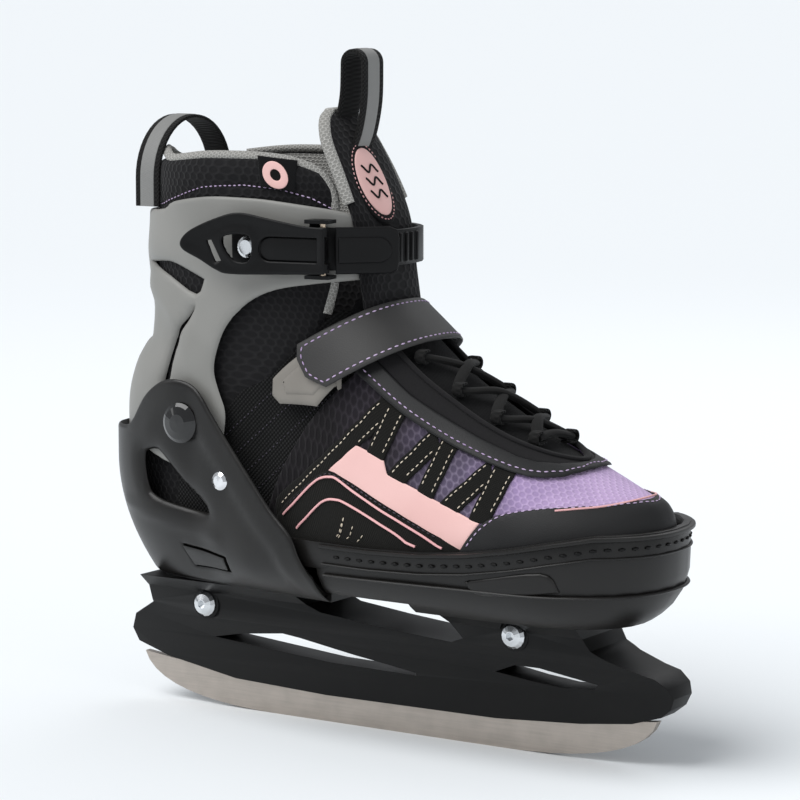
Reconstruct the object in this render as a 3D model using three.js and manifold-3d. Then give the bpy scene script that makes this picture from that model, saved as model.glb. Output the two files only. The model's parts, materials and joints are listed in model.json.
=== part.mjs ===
// Adjustable ice skate for a child's right foot.
// Millimetres, +X to the toe, +Z up, -Y to the outer side of the foot that carries the buckle.
// The origin is the middle of the blade's running edge.
import * as THREE from 'three';
import { mergeVertices } from 'three/addons/utils/BufferGeometryUtils.js';
import Module from 'manifold-3d';

const wasm = await Module();
wasm.setup();

// ---------- driving dimensions ----------

const seatGap = 0.3; // between pieces that rest on each other
const slideGap = 0.6; // between pieces that move past each other
const sizeTravel = 20; // how far the toe shell slides out for the largest foot
const cuffLean = { forward: 6, back: 3 }; // degrees that the cuff leans about its pivots

const blade = { length: 272, flat: 120, thickness: 3.5, tipHeight: 21, top: 19, topLength: 236 };

const holder = {
  top: 61.7,
  beamHalf: 4.6,
  towerHalf: 15.5,
  flareHalf: 24,
  boltHeight: { rear: 50.6, front: 54 },
  lugHalfWidth: 6.7,
};
const rearBoltX = -89.7;
const frontBoltX = 74;
const lugHalfLength = 13;
const boltSeatY = holder.towerHalf + 1.6;
const bolt = { shankRadius: 3, headRadius: 5.8, headHeight: 3.2 };

const shellWall = 3;
const heel = {
  rear: -141.5,
  front: -11,
  rearHalf: 41.2,
  frontHalf: 49.2,
  bottom: 62,
  floorTop: 70,
  rim: 131,
  roundLength: 62,
  undercutTop: 117,
  undercut: 18,
};
const toe = {
  wingRear: -42,
  wingBottom: 79,
  rear: -9,
  front: 143.5,
  wingHalf: 41.6,
  rearHalf: 45.6,
  half: 48,
  noseStart: 88,
  bottom: 62.3,
  archBottom: 66.8,
  archEnd: 34,
  floorTop: 66,
  lip: 91,
  noseLip: 104.5,
  undercutTop: 92,
  undercut: 16,
};

const rail = { rear: -78, front: 24, halfWidth: 16, bottom: 70.3, thickness: 3, toothPitch: 5, toothDepth: 2 };

const pivot = { x: -84, z: 137, shankRadius: 4, capRadius: 9, capHeight: 3 };
const rivet = { x: -61, z: 113, radius: 4.1, shankRadius: 2, headHeight: 1.6 };

const fabric = 4; // thickness of the forefoot fabric
const padding = 5; // thickness of the ankle padding
const ankleRadius = 30; // the padded ankle turns about the heel liner along this arc
const instepRadius = 72; // the forefoot fabric ends on this arc about the cuff's pivot
const instepAngle = 33; // degrees above level where the forefoot ends, seen from the pivot
const collarAngle = instepAngle + cuffLean.forward + 2;

const cuff = { gap: 0.8, wall: 3, rearBottom: 126, front: -6, top: 238 };

const buckle = {
  pinX: -10.5,
  pinY: -37.5,
  pinRadius: 1.2,
  bottom: 204.2,
  top: 229.8,
  middle: 216.8,
  leverAngle: 9,
  leverThickness: 3.4,
  plateAngle: 44,
  plateLength: 28,
  plateThickness: 2.6,
};
const ladder = {
  bottom: 209,
  top: 224.5,
  centre: -60,
  reach: 65.8,
  half: 40.2,
  thickness: 2.4,
  toothHeight: 1,
  power: 2.6,
};

const footbed = { bottom: 76.8, thickness: 3.2, toeBottom: 74.9 };
const cavityFloor = footbed.bottom + footbed.thickness;

const throat = { inner: 20, outer: 31, innerEnd: 99, outerEnd: 109, round: 44, rear: -40 };
const eyestay = { lift: 0.5, thickness: 1.6 };
const lace = { radius: 1.9, sides: 8 };
const strap = {
  width: 24,
  thickness: 2.6,
  lift: 5.2,
  angle: 30.5,
  centreX: 1,
  centreZ: 176,
  tip: -27,
  hinge: -20,
  sideFrom: 34,
};
const tongue = { half: 21.5, thickness: 8, top: 275 };
const badge = { x: -8.4, z: 244, halfWidth: 11.5, halfHeight: 18.5, thickness: 1.9, lean: 0.44 };
const webbing = { width: 16, thickness: 1.6 };

// ---------- materials ----------

function finish(color, roughness, metalness = 0) {
  return { color, roughness, metalness };
}
const finishes = {
  blackPlastic: finish(0x23211f, 0.45),
  buckleBlack: finish(0x1a1a1b, 0.4),
  greyPlastic: finish(0x8f8e8a, 0.5),
  bladeSteel: finish(0x9a9288, 0.38, 1),
  zinc: finish(0xc9ced0, 0.25, 1),
  chrome: finish(0xd8dadc, 0.08, 1),
  brass: finish(0xb39468, 0.3, 1),
  springSteel: finish(0x77797c, 0.35, 1),
  glossBlack: finish(0x0c0c0d, 0.08),
  textileBlack: finish(0x17171a, 0.95),
  textileFade: finish(0x5c5570, 0.9),
  leatherBlack: finish(0x1d1d1f, 0.6),
  leatherGrey: finish(0x2e2d2e, 0.6),
  beigeRubber: finish(0x8b8580, 0.7),
  pink: finish(0xe9b4b2, 0.7),
  foam: finish(0x2b2b2d, 0.95),
};

const skate = new THREE.Group();

function addPart(name, made, look) {
  const mesh = made.getMesh();
  const geometry = new THREE.BufferGeometry();
  geometry.setAttribute('position', new THREE.BufferAttribute(new Float32Array(mesh.vertProperties), 3));
  geometry.setIndex(new THREE.BufferAttribute(new Uint32Array(mesh.triVerts), 1));
  geometry.computeVertexNormals();
  const part = new THREE.Mesh(geometry, new THREE.MeshStandardMaterial(look));
  part.name = name;
  skate.add(part);
}

// ---------- solids from three.js geometry ----------

function solid(geometry, matrix = new THREE.Matrix4()) {
  const plain = geometry.index ? geometry.toNonIndexed() : geometry.clone();
  plain.deleteAttribute('normal');
  plain.deleteAttribute('uv');
  plain.applyMatrix4(matrix);
  const merged = mergeVertices(plain, 1e-4);
  const triVerts = new Uint32Array(merged.index.array);
  const vertProperties = merged.attributes.position.array;
  const made = new wasm.Manifold(new wasm.Mesh({ numProp: 3, vertProperties, triVerts }));
  if (made.volume() >= 0) return made;
  for (let i = 0; i < triVerts.length; i += 3) {
    [triVerts[i + 1], triVerts[i + 2]] = [triVerts[i + 2], triVerts[i + 1]];
  }
  return new wasm.Manifold(new wasm.Mesh({ numProp: 3, vertProperties, triVerts }));
}

function box(x0, x1, y0, y1, z0, z1) {
  const geometry = new THREE.BoxGeometry(x1 - x0, y1 - y0, z1 - z0);
  geometry.translate((x0 + x1) / 2, (y0 + y1) / 2, (z0 + z1) / 2);
  return solid(geometry);
}

const axesFor = {
  x: new THREE.Matrix4().makeBasis(
    new THREE.Vector3(0, 1, 0),
    new THREE.Vector3(0, 0, 1),
    new THREE.Vector3(1, 0, 0),
  ),
  y: new THREE.Matrix4().makeRotationX(Math.PI / 2),
  z: new THREE.Matrix4(),
};

// Extrudes a closed outline along one axis, from one coordinate to another.
// Outlines across X are (y, z) pairs, across Y are (x, z) pairs and across Z are (x, y) pairs.
function extruded(axis, points, from, to) {
  const shape = Array.isArray(points) ? new THREE.Shape(points.map(([u, v]) => new THREE.Vector2(u, v))) : points;
  const geometry = new THREE.ExtrudeGeometry(shape, { depth: to - from, bevelEnabled: false, curveSegments: 10 });
  geometry.applyMatrix4(axesFor[axis]);
  if (axis === 'x') geometry.translate(from, 0, 0);
  if (axis === 'y') geometry.translate(0, to, 0);
  if (axis === 'z') geometry.translate(0, 0, from);
  return solid(geometry);
}

// A turned piece whose axis lies along Y, from (radius, y) pairs that start and end on the axis.
function turned(x, z, profile, sides = 16) {
  const geometry = new THREE.LatheGeometry(profile.map(([r, y]) => new THREE.Vector2(r, y)), sides);
  geometry.translate(x, 0, z);
  return solid(geometry);
}

function rod(x, z, radius, y0, y1, sides = 16) {
  return turned(x, z, [[0, y0], [radius, y0], [radius, y1], [0, y1]], sides);
}

// Moves the vertices of an upright cylinder so that each of its rings becomes one station of a loft.
function loft(stations, sides, place) {
  const last = stations.length - 1;
  const geometry = new THREE.CylinderGeometry(1, 1, 1, sides, last);
  const position = geometry.getAttribute('position');
  for (let i = 0; i < position.count; i++) {
    const station = stations[Math.round((position.getY(i) + 0.5) * last)];
    const angle = Math.atan2(position.getZ(i), position.getX(i));
    const reach = Math.hypot(position.getX(i), position.getZ(i));
    const [x, y, z] = place(station, angle, reach);
    position.setXYZ(i, x, y, z);
  }
  return solid(geometry);
}

function powered(value, power) {
  return Math.sign(value) * Math.abs(value) ** (2 / power);
}

function polar(angle, reach) {
  const a = THREE.MathUtils.degToRad(angle);
  return [pivot.x + reach * Math.cos(a), pivot.z + reach * Math.sin(a)];
}

const farOut = 400;
const wide = 80;

// Everything above a ray that leaves the cuff's pivot at an angle above level.
function aboveRay(angle) {
  return extruded('y', [[pivot.x, pivot.z], polar(angle, farOut), [pivot.x + farOut, farOut],
    [pivot.x - farOut, farOut], [pivot.x - farOut, pivot.z]], -wide, wide);
}

function pivotDrum(radius) {
  return rod(pivot.x, pivot.z, radius, -wide, wide, 44);
}

// ---------- outer forms ----------

// The padded shaft round the ankle and shin: height, rearmost and foremost x, half width.
const shaftStations = [
  [cavityFloor - 3, -122, 50, 30],
  [92, -130, 50, 33],
  [110, -133.5, 48, 33.8],
  [126, -133.7, 42, 33.6],
  [145, -133, 30, 33.3],
  [160, -128, 18, 33],
  [172, -120.5, 9, 33],
  [186, -118, 2, 33.4],
  [198, -118, -2, 34],
  [215, -118, -4, 35],
  [236, -117, -6, 35.5],
  [258, -114, -16, 34.5],
];
const shaftPower = 2.6;

function shaftForm(outset) {
  return loft(shaftStations, 28, ([z, rear, front, half], angle, reach) => [
    (rear + front) / 2 + reach * ((front - rear) / 2 + outset) * powered(Math.cos(angle), shaftPower),
    reach * (half + outset) * powered(Math.sin(angle), shaftPower),
    z,
  ]);
}

// Half width of the shaft at a place along it and a height.
function shaftSideAt(x, z, outset) {
  const next = shaftStations.findIndex(([stationZ]) => stationZ > z);
  const [below, above] = [shaftStations[next - 1], shaftStations[next]];
  const share = (z - below[0]) / (above[0] - below[0]);
  const [rear, front, half] = [1, 2, 3].map((i) => THREE.MathUtils.lerp(below[i], above[i], share));
  const along = Math.abs((x - (rear + front) / 2) / ((front - rear) / 2 + outset)) ** shaftPower;
  return (half + outset) * (1 - along) ** (1 / shaftPower);
}

// The fabric forefoot: x, top on the centre line, half width, roundness of the upper half.
const footStations = [
  [-42, 214, 37, 2.6],
  [-20, 204, 39.5, 2.5],
  [0, 193, 42, 2.4],
  [14, 181.5, 43, 2.4],
  [30, 168, 44, 2.3],
  [48, 156.5, 44.3, 2.1],
  [75, 141, 44.3, 2],
  [92, 132, 42.8, 2],
  [106, 125, 38.8, 2.1],
  [118, 119.5, 32.8, 2.2],
  [128, 116, 24.5, 2.3],
  [135.2, 113, 14.5, 2.4],
  [139.4, 107, 7, 2.6],
];
const footBottom = { z: 70.5, riseFrom: 116, rise: 13 };
const footWidest = 95;
const solePower = 4;

const footEnd = footStations[footStations.length - 1][0];

function footForm(outset) {
  return loft(footStations, 28, ([x, top, half, power], angle, reach) => {
    const lower = Math.sin(angle) < 0;
    const nose = Math.max(0, x - footBottom.riseFrom) / (footEnd - footBottom.riseFrom);
    const bottom = footBottom.z + footBottom.rise * nose;
    const rise = (lower ? footWidest - bottom : top - footWidest) + outset;
    const roundness = lower ? solePower : power;
    const forward = x > footStations[footStations.length - 2][0] ? outset : 0;
    return [
      x + forward,
      reach * (half + outset) * powered(Math.cos(angle), roundness),
      footWidest + reach * rise * powered(Math.sin(angle), roundness),
    ];
  });
}

function undercutAt(z, top, bottom, depth, power) {
  return z >= top ? 0 : depth * ((top - z) / (top - bottom)) ** power;
}

// Half width of the heel shell, and of the toe shell where it slips inside it.
function heelHalfAt(x) {
  const share = THREE.MathUtils.clamp((x - pivot.x) / (heel.front - pivot.x), 0, 1);
  return THREE.MathUtils.lerp(heel.rearHalf, heel.frontHalf, share);
}

// One side of a shell's outline seen from above, from its rear to its front.
const heelSide = [
  ...Array.from({ length: 8 }, (_, i) => {
    const a = (i / 7) * (Math.PI / 2);
    return [heel.rear + heel.roundLength * (1 - Math.cos(a)), heel.rearHalf * Math.sin(a) ** 0.76];
  }),
  [-66, heelHalfAt(-66)],
  [-50, heelHalfAt(-50)],
  [-34, heelHalfAt(-34)],
  [heel.front, heel.frontHalf],
];
const toeSide = [
  [toe.wingRear, toe.wingHalf],
  [toe.rear, toe.rearHalf],
  [14, 47.3],
  [42, toe.half],
  [66, toe.half],
  ...Array.from({ length: 8 }, (_, i) => {
    const a = (i / 7) * (Math.PI / 2);
    return [toe.noseStart + (toe.front - toe.noseStart) * Math.sin(a), toe.half * Math.cos(a) ** 0.9];
  }),
];

// A shell's outer form: horizontal rings, each the outline drawn in by the undercut at its height.
function shellForm(side, levels, drawIn) {
  const opposite = side.filter(([, y]) => y > 0.1).reverse().map(([x, y]) => [x, -y]);
  const outline = [...side, ...opposite];
  const cutEnd = side[0][1] > 0.1 ? side[0][0] : side[side.length - 1][0];
  const inward = outline.map((p, i) => {
    const before = outline[(i + outline.length - 1) % outline.length];
    const after = outline[(i + 1) % outline.length];
    const along = new THREE.Vector2(after[0] - before[0], after[1] - before[1]).normalize();
    const normal = new THREE.Vector2(along.y, -along.x);
    const centre = new THREE.Vector2(-20 - p[0], -p[1]);
    return normal.dot(centre) < 0 ? normal.negate() : normal;
  });
  return loft(levels, outline.length, (z, angle, reach) => {
    if (reach < 0.5) return [0, 0, z];
    const turn = (angle / (2 * Math.PI) + 1) % 1;
    const i = Math.round(turn * outline.length) % outline.length;
    const d = drawIn(z, outline[i][0]);
    const along = outline[i][0] === cutEnd ? 0 : inward[i].x * d;
    return [outline[i][0] + along, outline[i][1] + inward[i].y * d, z];
  });
}

const shellLevels = [62, 65.5, 70, 76, 84, 92, 117, 160];

function heelDrawIn(z, x) {
  const share = THREE.MathUtils.smoothstep(x, pivot.x - 10, toe.wingRear - 3);
  const rear = undercutAt(z, heel.undercutTop, heel.bottom, heel.undercut, 2);
  const front = undercutAt(z, toe.undercutTop, heel.bottom, toe.undercut, 3);
  return THREE.MathUtils.lerp(rear, front, share);
}

function heelForm(inset) {
  return shellForm(heelSide, shellLevels, (z, x) => heelDrawIn(z, x) + inset);
}

function toeForm(inset) {
  return shellForm(toeSide, shellLevels.filter((z) => z <= 117), (z, x) =>
    undercutAt(z, toe.undercutTop, heel.bottom, toe.undercut, 3) + inset + (x < toe.rear ? 0.4 : 0));
}

// ---------- blade and holder ----------

function bladeOutline() {
  const end = blade.length / 2;
  const flat = blade.flat / 2;
  const shape = new THREE.Shape();
  shape.moveTo(-flat, 0);
  shape.lineTo(flat, 0);
  shape.bezierCurveTo(flat + 40, 0, end - 5, 6, end, blade.tipHeight);
  shape.lineTo(blade.topLength / 2, blade.top);
  shape.lineTo(-blade.topLength / 2, blade.top);
  shape.lineTo(-end, blade.tipHeight);
  shape.bezierCurveTo(-end + 5, 6, -flat - 40, 0, -flat, 0);
  return shape;
}

function makeBlade() {
  return extruded('y', bladeOutline(), -blade.thickness / 2, blade.thickness / 2);
}

function bladeSlot() {
  const end = blade.length / 2 + seatGap;
  const half = blade.thickness / 2 + seatGap / 2;
  const tip = blade.tipHeight + seatGap;
  return extruded('y', [[-end, -1], [end, -1], [end, tip], [blade.topLength / 2, blade.top + seatGap],
    [-blade.topLength / 2, blade.top + seatGap], [-end, tip]], -half, half);
}

// The holder seen from the side: tail, bottom edge along the blade, nose, front tower and rear tower.
const holderSide = [
  [-121, 48], [-134, 40.5], [-138.5, 32.8], [-136, 26.5], [-120, 21], [-81.6, 14.5], [-31.5, 12.7],
  [6, 12.5], [58, 13.4], [100, 16.3], [125.6, 19.5], [139.8, 24], [145, 28.2], [147, 33.1], [145, 37.8],
  [139.6, 41.6], [131.7, 43.4], [118.5, 47.4], [111, 51], [107.7, 56], [107.5, holder.top],
  [37, holder.top], [47.5, 49.6], [41, 47], [20.7, 48.5], [0.6, 50.2], [-26.7, 53.1], [-34, 56],
  [-38, holder.top], [-122.5, holder.top],
];
const rearWindow = [
  [-91, 33.6], [-76, 36.8], [-51, 39.9], [-42, 38.8], [-14, 33.8], [18, 29.2], [18, 28], [-28, 28.7], [-56, 30.7],
];
const frontWindow = [[60, 35.2], [71, 39.6], [83, 39.7], [94, 37.8], [111, 35.2], [108, 32.7], [93, 31.6], [77, 33]];

// Half of the holder's cross-section, from the blade up to the tower's flared top.
const holderSection = [
  [holder.beamHalf, 11], [5.6, 22], [8, 33], [12.5, 43], [holder.towerHalf, 49], [17, 56],
  [holder.flareHalf, holder.top + 1],
];

function makeHolder() {
  const section = [...holderSection, ...holderSection.slice().reverse().map(([y, z]) => [-y, z])];
  return extruded('y', holderSide, -wide, wide)
    .intersect(extruded('x', section, -150, 150))
    .subtract(extruded('y', rearWindow, -wide, wide))
    .subtract(extruded('y', frontWindow, -wide, wide))
    .subtract(bladeSlot())
    .subtract(boltPocket(rearBoltX, holder.boltHeight.rear))
    .subtract(boltPocket(frontBoltX, holder.boltHeight.front))
    .subtract(lug(rearBoltX, holder.boltHeight.rear, seatGap))
    .subtract(lug(frontBoltX, holder.boltHeight.front, seatGap))
    .subtract(rod(rearBoltX, holder.boltHeight.rear, bolt.shankRadius + seatGap, -wide, wide))
    .subtract(rod(frontBoltX, holder.boltHeight.front, bolt.shankRadius + seatGap, -wide, wide));
}

// The block under a shell that drops into a tower and is held by the tower's cross bolt.
function lug(x, boltZ, grow) {
  const half = holder.lugHalfWidth + grow;
  return box(x - lugHalfLength - grow, x + lugHalfLength + grow, -half, half, boltZ - 7.5 - grow, holder.top + 1);
}

// A towers' cross bolt: a domed head on the outer side, its threaded end in the sleeve nut.
function makeTowerBolt(x, z) {
  const seat = -boltSeatY;
  return turned(x, z, [
    [0, seat - bolt.headHeight], [2.2, seat - bolt.headHeight], [4.6, seat - bolt.headHeight * 0.7],
    [bolt.headRadius, seat - bolt.headHeight * 0.2], [bolt.headRadius, seat], [bolt.shankRadius, seat],
    [bolt.shankRadius, -seat + 1], [0, -seat + 1],
  ]).subtract(solid(
    new THREE.CylinderGeometry(2, 2, 4, 6).translate(x, seat - bolt.headHeight, z),
  ));
}

function makeTowerNut(x, z) {
  const seat = boltSeatY;
  return turned(x, z, [
    [0, seat + 1 + seatGap], [bolt.shankRadius + seatGap, seat + 1 + seatGap], [bolt.shankRadius + seatGap, seat],
    [bolt.headRadius, seat], [bolt.headRadius, seat + 1.6], [4.4, seat + 2.6], [0, seat + 2.8],
  ]);
}

// A flat seat round a bolt on the tower's sloping sides, and the room for the head outside it.
function boltSeats(x, z) {
  const seat = boltSeatY - seatGap;
  return rod(x, z, bolt.headRadius + 1.4, -seat, seat);
}

function boltPocket(x, z) {
  const room = (y0, y1) => rod(x, z, bolt.headRadius + 1, y0, y1);
  return room(-wide, -boltSeatY + seatGap).add(room(boltSeatY - seatGap, wide));
}

// ---------- shells ----------

const armOutline = [
  [-160, heel.rim], [-128, heel.rim + 0.5], [-118.6, 135], [-109.4, 146], [-99, 153.4], [-90, 156], [-81, 155.2],
  [-73.5, 151], [-66, 142], [-56, 130], [-45, 117.5], [-32, 103], [-21, 93], [-16.5, 84], [-13, 77],
  [heel.front, 74], [heel.front, toe.archBottom - seatGap], [-38, toe.archBottom - seatGap], [-42, heel.bottom],
  [-160, heel.bottom],
];
const ankleWindow = [
  [-112, 119], [-109, 122], [-103, 123], [-98.5, 121], [-85, 109.5], [-72, 97.4], [-89, 98.2], [-105, 101],
  [-110.5, 106],
];
const button = { rear: -91, front: -63.5, bottom: 70.6, top: 79.6, travel: 3, inner: -24 };

function buttonPanel(grow) {
  return [
    [button.rear - grow, button.top + grow], [button.front + grow, button.top - 2.4 + grow],
    [button.front + grow, button.bottom + 0.6 - grow], [button.rear + 4 - grow, button.bottom - grow],
  ];
}

function makeHeelShell() {
  const cavity = heelForm(shellWall).intersect(box(-170, 40, -wide, wide, heel.floorTop, 170));
  const frontDoor = box(-16, 20, -37, 37, heel.floorTop, 170);
  const walls = extruded('y', armOutline, -wide, wide).intersect(heelForm(0)).subtract(cavity).subtract(frontDoor);
  const rearLug = lug(rearBoltX, holder.boltHeight.rear, 0)
    .subtract(rod(rearBoltX, holder.boltHeight.rear, bolt.shankRadius + seatGap, -wide, wide));
  const hole = (x, z, radius) => rod(x, z, radius + seatGap, -wide, wide);
  return walls
    .subtract(extruded('y', ankleWindow, -wide, wide))
    .subtract(hole(pivot.x, pivot.z, pivot.shankRadius))
    .subtract(hole(rivet.x, rivet.z, rivet.shankRadius))
    .subtract(extruded('y', buttonPanel(slideGap), -wide, 0).intersect(box(-170, 0, -wide, -20, 60, 90)))
    .add(rearLug);
}

function toeLipOutline(low) {
  return [
    [toe.wingRear - 2, low], [toe.wingRear - 2, toe.lip], [20, toe.lip], [45, toe.lip + 0.8], [68, toe.lip + 3],
    [90, toe.lip + 6.8], [108, toe.lip + 10.6], [124, toe.noseLip], [160, toe.noseLip], [160, low],
  ];
}

function makeToeShell() {
  const body = toeForm(0).intersect(extruded('y', toeLipOutline(toe.bottom), -wide, wide));
  const archCut = box(-60, toe.archEnd, -wide, wide, 60, toe.archBottom);
  const wingFloor = box(-60, heel.front + 2 * slideGap, -wide, wide, 60, toe.wingBottom);
  const cavityRear = toeForm(shellWall).intersect(box(-60, toe.archEnd + 4, -wide, wide, heel.floorTop, 130));
  const cavityFront = toeForm(shellWall).intersect(box(toe.archEnd, 160, -wide, wide, toe.floorTop, 130));
  const rearDoor = box(toe.wingRear - 4, toe.rear, -36, 36, heel.floorTop, 130);
  const shell = body
    .subtract(archCut)
    .subtract(wingFloor)
    .subtract(cavityRear)
    .subtract(cavityFront)
    .subtract(rearDoor);
  const railTop = rail.bottom + rail.thickness;
  const bar = box(rail.rear, rail.front, -rail.halfWidth, rail.halfWidth, rail.bottom, railTop);
  const root = box(heel.front + 2, rail.front, -rail.halfWidth, rail.halfWidth, toe.archBottom + 1, railTop);
  const teeth = Array.from({ length: 5 }, (_, i) => {
    const x = rail.rear + 4 + i * rail.toothPitch;
    return extruded('z', [[x, rail.halfWidth - rail.toothDepth], [x + 3, rail.halfWidth + 1], [x, rail.halfWidth + 1]],
      rail.bottom - 1, railTop + 1);
  });
  const guideSlot = box(
    frontBoltX - guide.neckHalfLength - sizeTravel - slideGap, frontBoltX + guide.neckHalfLength + slideGap,
    -guide.neckHalfWidth - slideGap, guide.neckHalfWidth + slideGap, 60, 70,
  );
  return teeth.reduce((made, tooth) => made.subtract(tooth), shell.add(bar).add(root)).subtract(guideSlot);
}

// ---------- front guide: fixed in the front tower, its head rides in the toe shell's slot ----------

const guide = { neckHalfLength: 9, neckHalfWidth: 5.6, headHalfWidth: 10.5, headThickness: 2.4 };

function makeFrontGuide() {
  const floor = toe.floorTop + slideGap;
  const { neckHalfLength, neckHalfWidth, headHalfWidth, headThickness } = guide;
  return lug(frontBoltX, holder.boltHeight.front, 0)
    .intersect(box(-200, 200, -wide, wide, 0, holder.top))
    .add(box(frontBoltX - neckHalfLength, frontBoltX + neckHalfLength, -neckHalfWidth, neckHalfWidth,
      holder.top - 1, floor + 1))
    .add(box(frontBoltX - neckHalfLength, frontBoltX + neckHalfLength, -headHalfWidth, headHalfWidth,
      floor, floor + headThickness))
    .subtract(rod(frontBoltX, holder.boltHeight.front, bolt.shankRadius + seatGap, -wide, wide));
}

// ---------- size lock: button with its hook over the rail, and its leaf spring ----------

const lock = { barBottom: rail.bottom + rail.thickness + slideGap, barTop: 76.1, barHalf: 5, x: -70 };

function makePushButton() {
  const face = extruded('y', buttonPanel(0), -wide, button.inner - button.travel).intersect(heelForm(0));
  const hookFace = rail.halfWidth + slideGap;
  const bar = box(lock.x - lock.barHalf, lock.x + lock.barHalf, button.inner - button.travel - 2, hookFace + 2.4,
    lock.barBottom, lock.barTop);
  const hook = box(lock.x - 1, lock.x + 1, hookFace, hookFace + 2.4, rail.bottom + slideGap, lock.barTop);
  return face.add(bar).add(hook);
}

function makeButtonSpring() {
  const leafY = button.inner + seatGap;
  return box(button.rear + 3, lock.x - lock.barHalf - 2, leafY, leafY + 0.8, heel.floorTop + seatGap, 76)
    .add(box(button.rear + 3, lock.x - lock.barHalf - 2, leafY, leafY + 5, heel.floorTop + seatGap, 71.1));
}

// ---------- cuff ----------

const cuffOutline = [
  [-160, cuff.rearBottom], [-118, cuff.rearBottom - 2], [-104, 120], [-94, 117], [-84, 116.5], [-74, 118],
  [-66, 124], [-63.5, 133], [-63, 143], [-66.5, 152], [-69, 160.5], [-67.5, 169.6], [-62, 181.2], [-51, 191.9],
  [-37.5, 198.3], [-20, 201.5], [cuff.front, 203], [cuff.front, 230.5], [-17, 234], [-38.5, 237.2],
  [-54, cuff.top], [-71.5, 237.8], [-90.5, 234.9], [-103, 230.5], [-160, 230],
];
const cuffTriangle = [[-111, 206.5], [-97, 207.8], [-88, 206], [-75, 201], [-80, 194], [-96, 201]];
const cuffSlit = [[-80.5, 188.5], [-84.5, 184], [-94, 172], [-101, 153], [-97.5, 152.4], [-93, 168]];
const spine = { bottom: 172, top: 198, half: 19 };

function makeCuff() {
  const ring = shaftForm(cuff.gap + cuff.wall).subtract(shaftForm(cuff.gap));
  return ring
    .intersect(extruded('y', cuffOutline, -wide, wide))
    .subtract(extruded('y', cuffTriangle, -wide, wide))
    .subtract(extruded('y', cuffSlit, -wide, wide))
    .subtract(box(-160, -100, -spine.half, spine.half, spine.bottom, spine.top))
    .subtract(box(-45, 60, -tongue.half - slideGap, tongue.half + slideGap, 100, 300))
    .subtract(rod(pivot.x, pivot.z, pivot.shankRadius + seatGap, -wide, wide))
    .subtract(rod(screw.x, screw.z, screw.radius + seatGap, -wide, 0))
    .subtract(rod(anchor.x, anchor.z, anchor.radius + seatGap, 0, wide));
}

const screw = { x: -48, z: buckle.middle, radius: 2, headRadius: 4.6 };
const anchor = { x: -42, z: buckle.middle, radius: 2.4, headRadius: 5.4 };

// ---------- pivots and rivets, on either side (side is -1 outer, +1 inner) ----------

function mirroredY(made, side) {
  return side < 0 ? made : made.mirror([0, 1, 0]);
}

const armOuter = heelHalfAt(pivot.x + pivot.capRadius) + seatGap;
const linerSide = shaftSideAt(pivot.x, pivot.z, 0);

function makePivotBolt(side) {
  const inside = -linerSide - cuff.gap;
  return mirroredY(turned(pivot.x, pivot.z, [
    [0, -armOuter - pivot.capHeight], [4, -armOuter - pivot.capHeight * 0.9],
    [7.4, -armOuter - pivot.capHeight * 0.55], [pivot.capRadius, -armOuter - 0.6], [pivot.capRadius, -armOuter],
    [pivot.shankRadius, -armOuter], [pivot.shankRadius, inside + 0.2], [0, inside + 0.2],
  ], 32), side);
}

function makeRivet(side) {
  const face = -heelHalfAt(rivet.x) - seatGap - 0.3;
  return mirroredY(turned(rivet.x, rivet.z, [
    [0, face - rivet.headHeight], [2.6, face - rivet.headHeight * 0.85], [rivet.radius, face - 0.3],
    [rivet.radius, face], [rivet.shankRadius, face], [rivet.shankRadius, face + shellWall + 1.4],
    [0, face + shellWall + 1.4],
  ], 20), side);
}

// ---------- soft parts ----------

function makeHeelLiner() {
  const shell = shaftForm(0).subtract(shaftForm(-padding));
  const low = box(-200, 60, -wide, wide, cavityFloor + seatGap, pivot.z - 5).intersect(pivotDrum(instepRadius - 1));
  const round = pivotDrum(ankleRadius).intersect(box(-200, 60, -wide, wide, cavityFloor + seatGap, 200));
  return shell
    .intersect(low.add(round))
    .subtract(box(-30, 60, -wide, -heelHalfAt(-34) + 12, 0, 200));
}

function collarTopCut() {
  return extruded('y', [
    [-160, 252.5], [-98, 253.6], [-48, 256.3], [-32, 254.6], [-17, 249], [-6, 239], [3, 229], [60, 229],
    [60, 300], [-160, 300],
  ], -wide, wide);
}

function makeCollar() {
  const frontBlock = aboveRay(collarAngle).add(pivotDrum(instepRadius - 0.8));
  return shaftForm(0)
    .subtract(shaftForm(-padding))
    .intersect(box(-200, 60, -wide, wide, pivot.z + 6, 300))
    .intersect(frontBlock)
    .subtract(pivotDrum(ankleRadius + slideGap))
    .subtract(collarTopCut())
    .subtract(box(-45, 60, -tongue.half - seatGap, tongue.half + seatGap, 100, 300));
}

const tongueStations = [
  [186, 2, 21.5], [205, -1, 21.5], [228, -4.5, 21.5], [246, -12, 21], [262, -20.5, 19], [271, -25, 15],
  [tongue.top, -27, 10],
];

function makeTongueUpper() {
  return loft(tongueStations, 20, ([z, x, half], angle, reach) => [
    x + reach * (tongue.thickness / 2) * powered(Math.cos(angle), 3),
    reach * half * powered(Math.sin(angle), 3),
    z,
  ]).intersect(aboveRay(collarAngle));
}

function forefootEnd(made, extra = 0) {
  return made.subtract(aboveRay(instepAngle - extra)).subtract(pivotDrum(instepRadius + slideGap));
}

const capOutline = [
  [62, 60], [65, 94], [76, 106.5], [82, 109.8], [106, 113], [132, 118.5], [150, 121], [160, 121], [160, 60],
];

function throatShape(half, end) {
  const shape = new THREE.Shape();
  shape.moveTo(throat.rear, -half);
  shape.lineTo(end - throat.round, -half);
  shape.absellipse(end - throat.round, 0, throat.round, half, -Math.PI / 2, Math.PI / 2);
  shape.lineTo(throat.rear, half);
  return shape;
}

function forefootShell() {
  return footForm(0)
    .subtract(footForm(-fabric))
    .subtract(box(-60, 60, -34, 34, 60, cavityFloor));
}

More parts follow.
